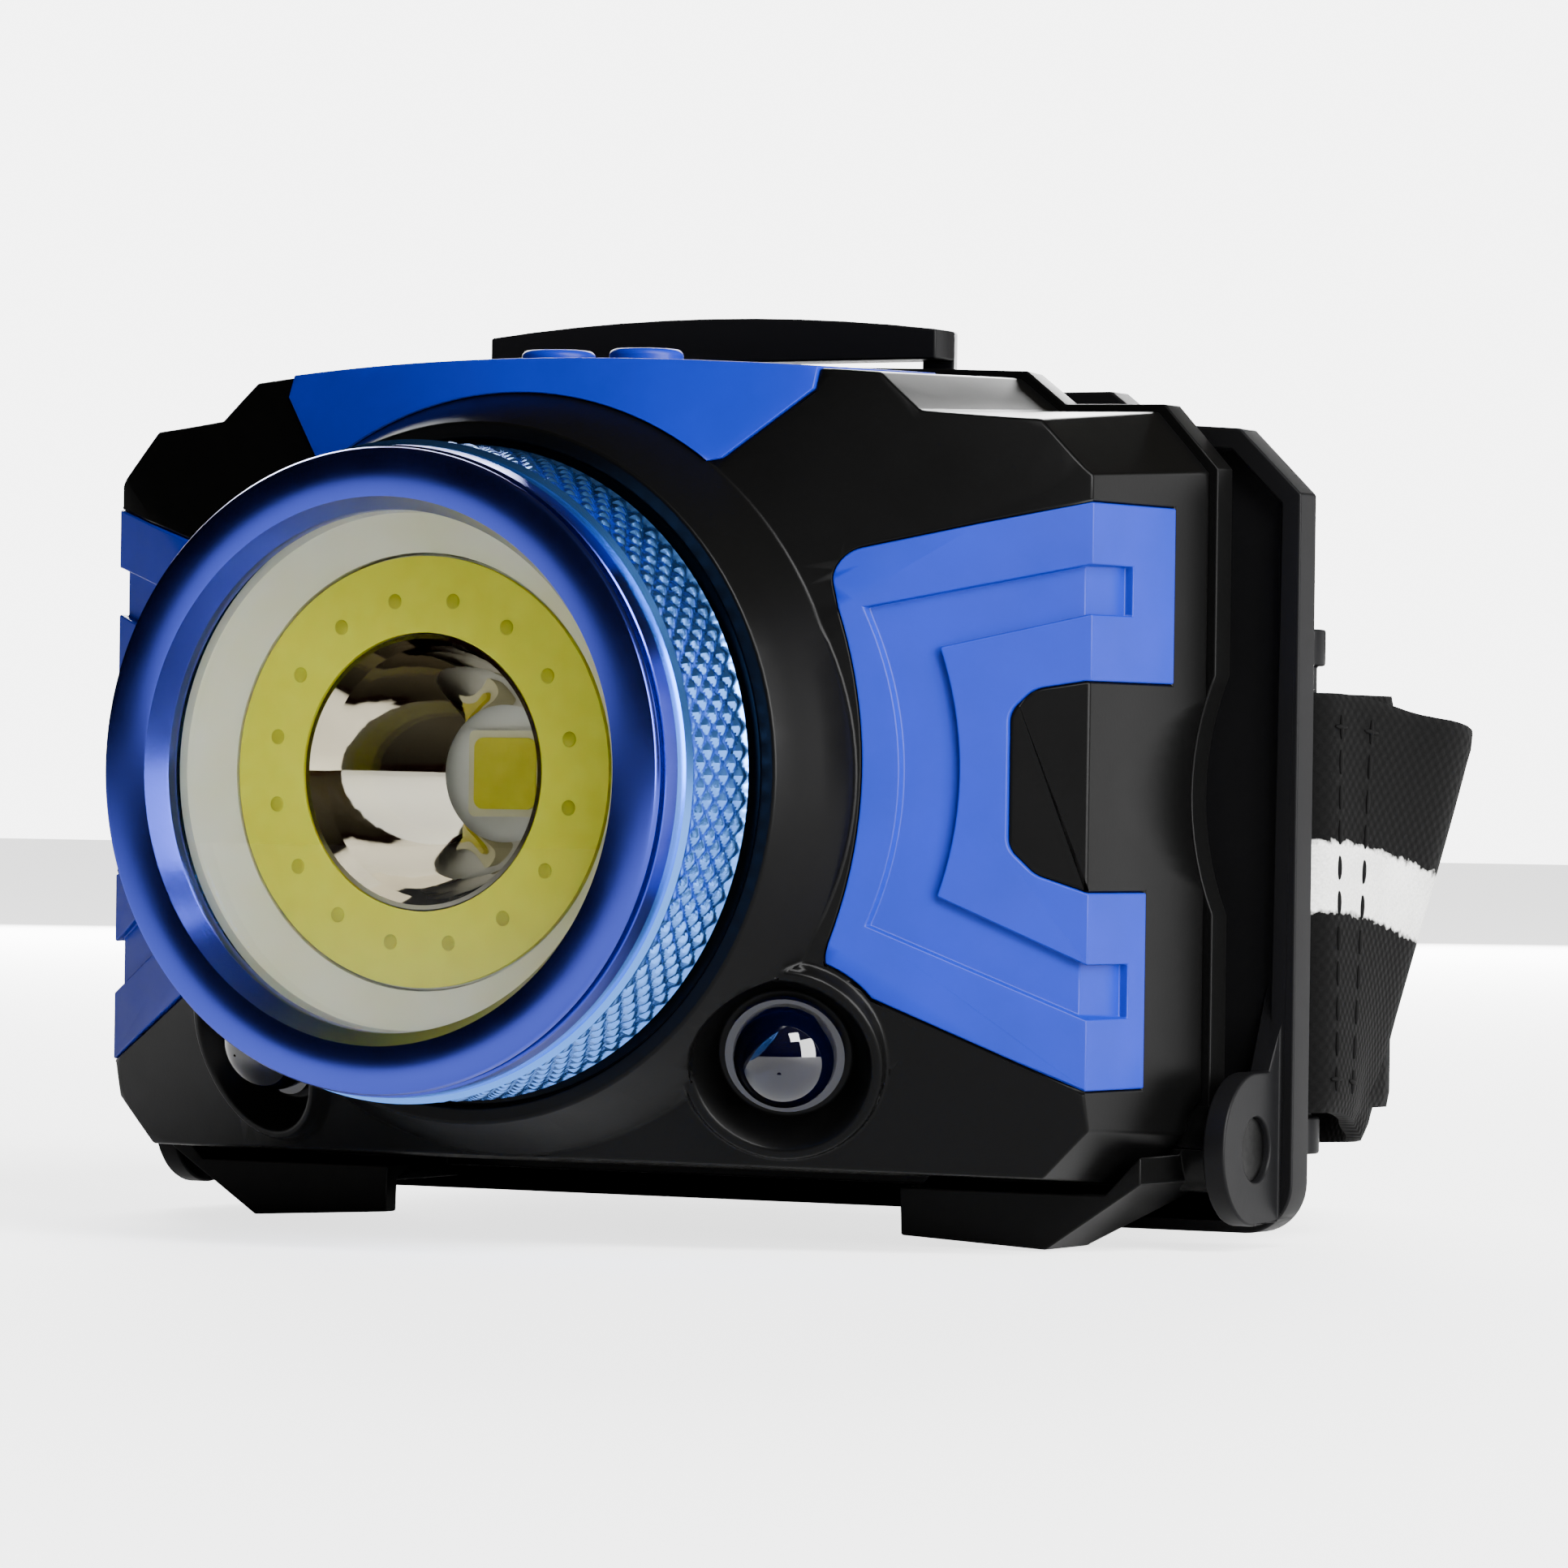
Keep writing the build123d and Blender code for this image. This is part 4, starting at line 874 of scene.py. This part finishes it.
def stitch_tree():
    """Lays a stitch along every pitch of the piece's edges."""
    tree, source, result = new_tree("lay stitches", {
        "Pitch": "NodeSocketFloat", "Stitch length": "NodeSocketFloat", "Thread": "NodeSocketFloat",
        "Yarn": "NodeSocketMaterial",
    })
    curve = add(tree, "GeometryNodeMeshToCurve", {0: source.outputs["Geometry"]})
    spots = add(
        tree, "GeometryNodeCurveToPoints", {"Curve": curve.outputs[0], "Length": source.outputs["Pitch"]},
        mode="LENGTH",
    )
    ball = add(tree, "GeometryNodeMeshUVSphere", {"Segments": 8, "Rings": 6, "Radius": 0.5})
    thick, long = source.outputs["Thread"], source.outputs["Stitch length"]
    size = add(tree, "ShaderNodeCombineXYZ", {"X": thick, "Y": thick, "Z": long})
    stitch = add(tree, "GeometryNodeTransform", {"Geometry": ball.outputs[0], "Scale": size.outputs[0]})
    laid = add(tree, "GeometryNodeInstanceOnPoints", {
        "Points": spots.outputs["Points"], "Instance": stitch.outputs[0],
        "Rotation": spots.outputs["Rotation"],
    })
    real = add(tree, "GeometryNodeRealizeInstances", {0: laid.outputs[0]})
    made = add(tree, "GeometryNodeSetMaterial", {0: real.outputs[0], "Material": source.outputs["Yarn"]})
    tree.links.new(made.outputs[0], result.inputs[0])
    return tree


lay_stitches = stitch_tree()


def stitched(name, lines, body):
    """A piece made of stitches along the given lines of points, in metres."""
    mesh = bpy.data.meshes.new(name)
    work = bmesh.new()
    for line in lines:
        verts = [work.verts.new(point) for point in line]
        for first, second in zip(verts, verts[1:]):
            work.edges.new((first, second))
    work.to_mesh(mesh)
    work.free()
    piece = bpy.data.objects.new(name, mesh)
    bpy.context.collection.objects.link(piece)
    run_tree(piece, lay_stitches, {
        "Pitch": STITCH_PITCH * MM, "Stitch length": STITCH_LONG * MM, "Thread": STITCH_THICK * MM,
        "Yarn": thread,
    })
    for polygon in piece.data.polygons:
        polygon.use_smooth = True
    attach(piece, body)
    return piece


def sewn_box(start, end):
    """The sewing lines of one end: a box on the strap's outer face."""
    top, low = SEAM_INSET, STRAP_WIDTH - SEAM_INSET
    marks = [
        ((start, top), (end, top)), ((start, low), (end, low)), ((start, top), (start, low)),
        ((end, top), (end, low)),
    ]
    lines = []
    for (along_a, across_a), (along_b, across_b) in marks:
        lines.append([
            on_strap(along_a + (along_b - along_a) * t / 20, across_a + (across_b - across_a) * t / 20,
                     STRAP_THICK / 2 + THREAD_PROUD)
            for t in range(21)
        ])
    return lines


BOX_FIRST, BOX_LAST = 0.4, 3.4
boxes = sewn_box(START + BOX_FIRST, START + BOX_LAST) + sewn_box(FINISH - BOX_LAST, FINISH - BOX_FIRST)
strap_stitches = stitched("strap_stitches", boxes, "plate")
print("stitch faces", len(strap_stitches.data.polygons))

# %% [markdown]
# ## The forehead pad
# The pad is 4 mm of soft foam in a knitted cover, sewn shut round its edge. The cover is blown up a
# little by cloth simulation, so its sides pull in between the corners, and it stays flat where it
# is glued to the plate. A binding hides the seam.

# %% Pad blank
pad_low, pad_high = [Vector(corner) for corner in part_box("forehead_pad")]
PAD_CORNER = 8.0
PAD_SHRINK = 0.5  # the blank starts smaller, because it swells
GLUE_GAP = 0.25
FACE_GAP = 0.55
PAD_VOXEL = 1.1


def rounded_rectangle(half_x, half_z, radius, steps=8):
    """Outline of a rounded rectangle in millimetres, as (x, z) points."""
    points = []
    for quarter, (sx, sz) in enumerate(((1, 1), (-1, 1), (-1, -1), (1, -1))):
        for step in range(steps + 1):
            angle = pi / 2 * (quarter + step / steps)
            points.append((
                sx * (half_x - radius) + radius * cos(angle), sz * (half_z - radius) + radius * sin(angle)
            ))
    return points


half_x = pad_high.x / MM - PAD_SHRINK
half_z = pad_high.z / MM - PAD_SHRINK
outline = rounded_rectangle(half_x, half_z, PAD_CORNER - PAD_SHRINK)
mesh = bpy.data.meshes.new("pad_blank")
work = bmesh.new()
front = [work.verts.new((x * MM, pad_low.y + GLUE_GAP * MM, z * MM)) for x, z in outline]
rear = [work.verts.new((x * MM, pad_high.y - FACE_GAP * MM, z * MM)) for x, z in outline]
work.faces.new(front)
work.faces.new(rear[::-1])
for k in range(len(outline)):
    following = (k + 1) % len(outline)
    work.faces.new((front[k], rear[k], rear[following], front[following]))
bmesh.ops.recalc_face_normals(work, faces=work.faces)
work.to_mesh(mesh)
work.free()
pad = bpy.data.objects.new("foam_pad", mesh)
bpy.context.collection.objects.link(pad)
bpy.context.view_layer.objects.active = pad
remesh = pad.modifiers.new("remesh", "REMESH")
remesh.mode = "VOXEL"
remesh.voxel_size = PAD_VOXEL * MM


settle(pad, "foam_pad")
print("pad blank", len(pad.data.vertices), "points")

# %% Blow up the cover
PAD_CAP = 0.45  # how far a point may move, in millimetres
PAD_CROWN = 0.3
CLOTH_STEPS = 20
start_points = [v.co.copy() for v in pad.data.vertices]
held = pad.vertex_groups.new(name="glued")
for vert in pad.data.vertices:
    if vert.co.y < pad_low.y + 0.6 * MM:
        held.add([vert.index], 1.0, "REPLACE")
cloth = pad.modifiers.new("cloth", "CLOTH")
cloth.settings.quality = 5
cloth.settings.mass = 0.02
cloth.settings.tension_stiffness = 15
cloth.settings.use_pressure = True
cloth.settings.uniform_pressure_force = 4
cloth.settings.vertex_group_mass = "glued"
cloth.settings.effector_weights.gravity = 0
cloth.point_cache.frame_start = 1
cloth.point_cache.frame_end = CLOTH_STEPS
for frame_number in range(1, CLOTH_STEPS + 1):
    bpy.context.scene.frame_set(frame_number)
settle(pad, "foam_pad")
bpy.context.scene.frame_set(1)
moved = 0.0
for vert, was in zip(pad.data.vertices, start_points):
    shift = vert.co - was
    if shift.length > PAD_CAP * MM:
        shift = shift.normalized() * PAD_CAP * MM
    vert.co = was + shift
    moved = max(moved, shift.length)
    crown = 1 - max(abs(was.x) / (half_x * MM), abs(was.z) / (half_z * MM)) ** 3
    if vert.co.y > pad_high.y - 1.2 * MM:
        vert.co.y += PAD_CROWN * MM * crown
    vert.co.y = min(vert.co.y, pad_high.y - 0.02 * MM)
for polygon in pad.data.polygons:
    polygon.use_smooth = True
pad.modifiers.new("subdivide", "SUBSURF").levels = 1
pad.modifiers["subdivide"].render_levels = 1
settle(pad, "foam_pad")
print("pad moved up to", round(moved / MM, 2), "mm, faces", len(pad.data.polygons))

# %% Pad cover and binding
pad_cloth, tree, shader = start_material(
    "Polyester mesh cloth over foam, black", "#111111", IOR=1.5, Specular_IOR_Level=0.25, Roughness=0.9,
    Sheen_Weight=0.3, Sheen_Roughness=0.5,
)
cells = add(
    tree, "ShaderNodeTexVoronoi", {"Vector": place(tree), "Scale": 1 / (1.3 * MM), "Randomness": 0.15},
    feature="DISTANCE_TO_EDGE",
).outputs["Distance"]
# Paler along the threads and darker towards each cell's middle, which the bump sinks: the dark middles are
# painted shade in the mesh's holes.
drive(shader, "Base Color", ramp(tree, cells, [(0.05, "#222222"), (0.3, "#070707")]))
fluff = maths(tree, "MULTIPLY", speckle(tree, 0.2, 3), -0.3)
relief(tree, shader, maths(tree, "ADD", cells, fluff), -0.18, 0.7)
pad.data.materials.clear()
pad.data.materials.append(pad_cloth)
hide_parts("forehead_pad")
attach(pad, "plate")

BINDING_R = 0.75
BINDING_INSET = 0.15
BINDING_FROM_PLATE = 1.2
seam = rounded_rectangle(half_x - BINDING_INSET, half_z - BINDING_INSET, PAD_CORNER - PAD_SHRINK, 12)
seam_y = pad_low.y + BINDING_FROM_PLATE * MM
mesh = bpy.data.meshes.new("pad_binding")
work = bmesh.new()
rings = []
for k, (x, z) in enumerate(seam):
    x_before, z_before = seam[k - 1]
    x_after, z_after = seam[(k + 1) % len(seam)]
    out = Vector((z_after - z_before, 0, x_before - x_after)).normalized()
    if out.dot(Vector((x, 0, z))) < 0:
        out.negate()
    middle_point = Vector((x * MM, seam_y, z * MM))
    rings.append([
        work.verts.new(
            middle_point + out * cos(tau * s / 12) * BINDING_R * 0.75 * MM
            + Vector((0, sin(tau * s / 12) * BINDING_R * MM, 0))
        )
        for s in range(12)
    ])
for here, there in zip(rings, rings[1:] + rings[:1]):
    for s in range(12):
        work.faces.new((here[s], here[(s + 1) % 12], there[(s + 1) % 12], there[s]))
bmesh.ops.recalc_face_normals(work, faces=work.faces)
for face in work.faces:
    face.smooth = True
work.to_mesh(mesh)
work.free()
binding = bpy.data.objects.new("pad_binding", mesh)
bpy.context.collection.objects.link(binding)
binding_tape, tree, shader = start_material(
    "Polyester binding tape, black", "#0d0d0d", IOR=1.5, Roughness=0.8, Sheen_Weight=0.2,
)
drive(shader, "Base Color", ramp(tree, speckle(tree, 0.3, 3), [(0.3, "#080808"), (0.7, "#1a1a1a")]))
relief(tree, shader, speckle(tree, 0.25, 2), 0.03, 0.7)
binding.data.materials.append(binding_tape)
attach(binding, "plate")
print("binding faces", len(mesh.polygons))

# %% [markdown]
# ## Floor and light
# A pale sweep stands in for the table and the wall. The room itself is dim, and darkest on the front
# left, so the ring's flat face turns navy (its blue is also darkened there as painted shade) and the
# black case stays black. Four soft lights draw the rest: a strong one on the right for the side
# panels, one low behind on each side for the edges and the knurl (whose paler blue is painted light),
# and a high one in front that fills the bowl.

# %% Studio
floor_z = min(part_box("rear_cover")[0][2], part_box("back_plate")[0][2]) - 0.1 * MM
sweep_mesh = bpy.data.meshes.new("studio_sweep")
work = bmesh.new()
HALF_FLOOR = 3.0
FLOOR_GLOW = 2.2  # lifts the floor to near white where the camera looks straight at it
signs = ((-1, -1), (1, -1), (1, 1), (-1, 1))
work.faces.new([work.verts.new((sx * HALF_FLOOR, sy * HALF_FLOOR, floor_z)) for sx, sy in signs])
work.to_mesh(sweep_mesh)
work.free()
sweep_mat, tree, shader = start_material("Studio floor, matt white", "#f4f4f4", Roughness=0.8)
seen = add(tree, "ShaderNodeLightPath").outputs["Is Camera Ray"]
shader.inputs["Emission Color"].default_value = (1, 1, 1, 1)
drive(shader, "Emission Strength", maths(tree, "MULTIPLY", seen, FLOOR_GLOW))
sweep_mesh.materials.append(sweep_mat)
sweep = bpy.data.objects.new("studio_floor", sweep_mesh)
bpy.context.collection.objects.link(sweep)

world = bpy.data.worlds.new("studio")
bpy.context.scene.world = world
world.use_nodes = True
tree = world.node_tree
tree.nodes.clear()
toward = add(tree, "ShaderNodeTexCoord").outputs["Generated"]
direction = add(tree, "ShaderNodeSeparateXYZ", {0: toward})
clutter = add(tree, "ShaderNodeTexNoise", {"Vector": toward, "Scale": 2.6, "Detail": 4.0}).outputs["Fac"]
level = maths(tree, "MULTIPLY_ADD", clutter, 0.25, direction.outputs["Z"])
room = ramp(tree, maths(tree, "MULTIPLY_ADD", level, 0.5, 0.5), [
    (0.0, "#9c9a94"), (0.52, "#8e8c86"), (0.56, "#2a0f0c"), (0.61, "#3a1a14"), (0.64, "#5d5548"),
    (0.8, "#77705f"), (1.0, "#8f897a"),
])
side = maths(tree, "MULTIPLY_ADD", direction.outputs["X"], 0.5, 0.55)
brightness = maths(tree, "MULTIPLY", maths(tree, "MAXIMUM", side, 0.12), 0.55)
seen = add(tree, "ShaderNodeLightPath").outputs["Is Camera Ray"]
unseen = add(tree, "ShaderNodeBackground", {"Color": room, "Strength": brightness})
BACKDROP_GLOW = 6.0
backdrop = add(tree, "ShaderNodeBackground", {"Color": (1, 1, 1, 1), "Strength": BACKDROP_GLOW})
light = add(tree, "ShaderNodeMixShader", {0: seen, 1: unseen.outputs[0], 2: backdrop.outputs[0]})
add(tree, "ShaderNodeOutputWorld", {"Surface": light.outputs[0]})


def soft_light(name, place_at, size, power, look=(0.0, -0.02, 0.0)):
    """A large area light that looks at the lamp and isn't itself in view."""
    data = bpy.data.lights.new(name, "AREA")
    data.shape = "RECTANGLE"
    data.size, data.size_y = size
    data.energy = power
    lamp = bpy.data.objects.new(name, data)
    lamp.location = place_at
    lamp.rotation_euler = (Vector(place_at) - Vector(look)).to_track_quat("Z", "Y").to_euler()
    lamp.visible_camera = False
    bpy.context.collection.objects.link(lamp)


soft_light("right softbox", (0.8, -0.12, 0.1), (0.5, 0.8), 30.0)
soft_light("left rear softbox", (-0.45, 0.8, 0.25), (0.6, 0.5), 24.0)
soft_light("right rear softbox", (0.55, 0.85, 0.12), (0.45, 0.5), 1.8)
soft_light("front fill", (0.7, -0.5, 0.75), (0.4, 0.4), 18.0)
print("studio ready")
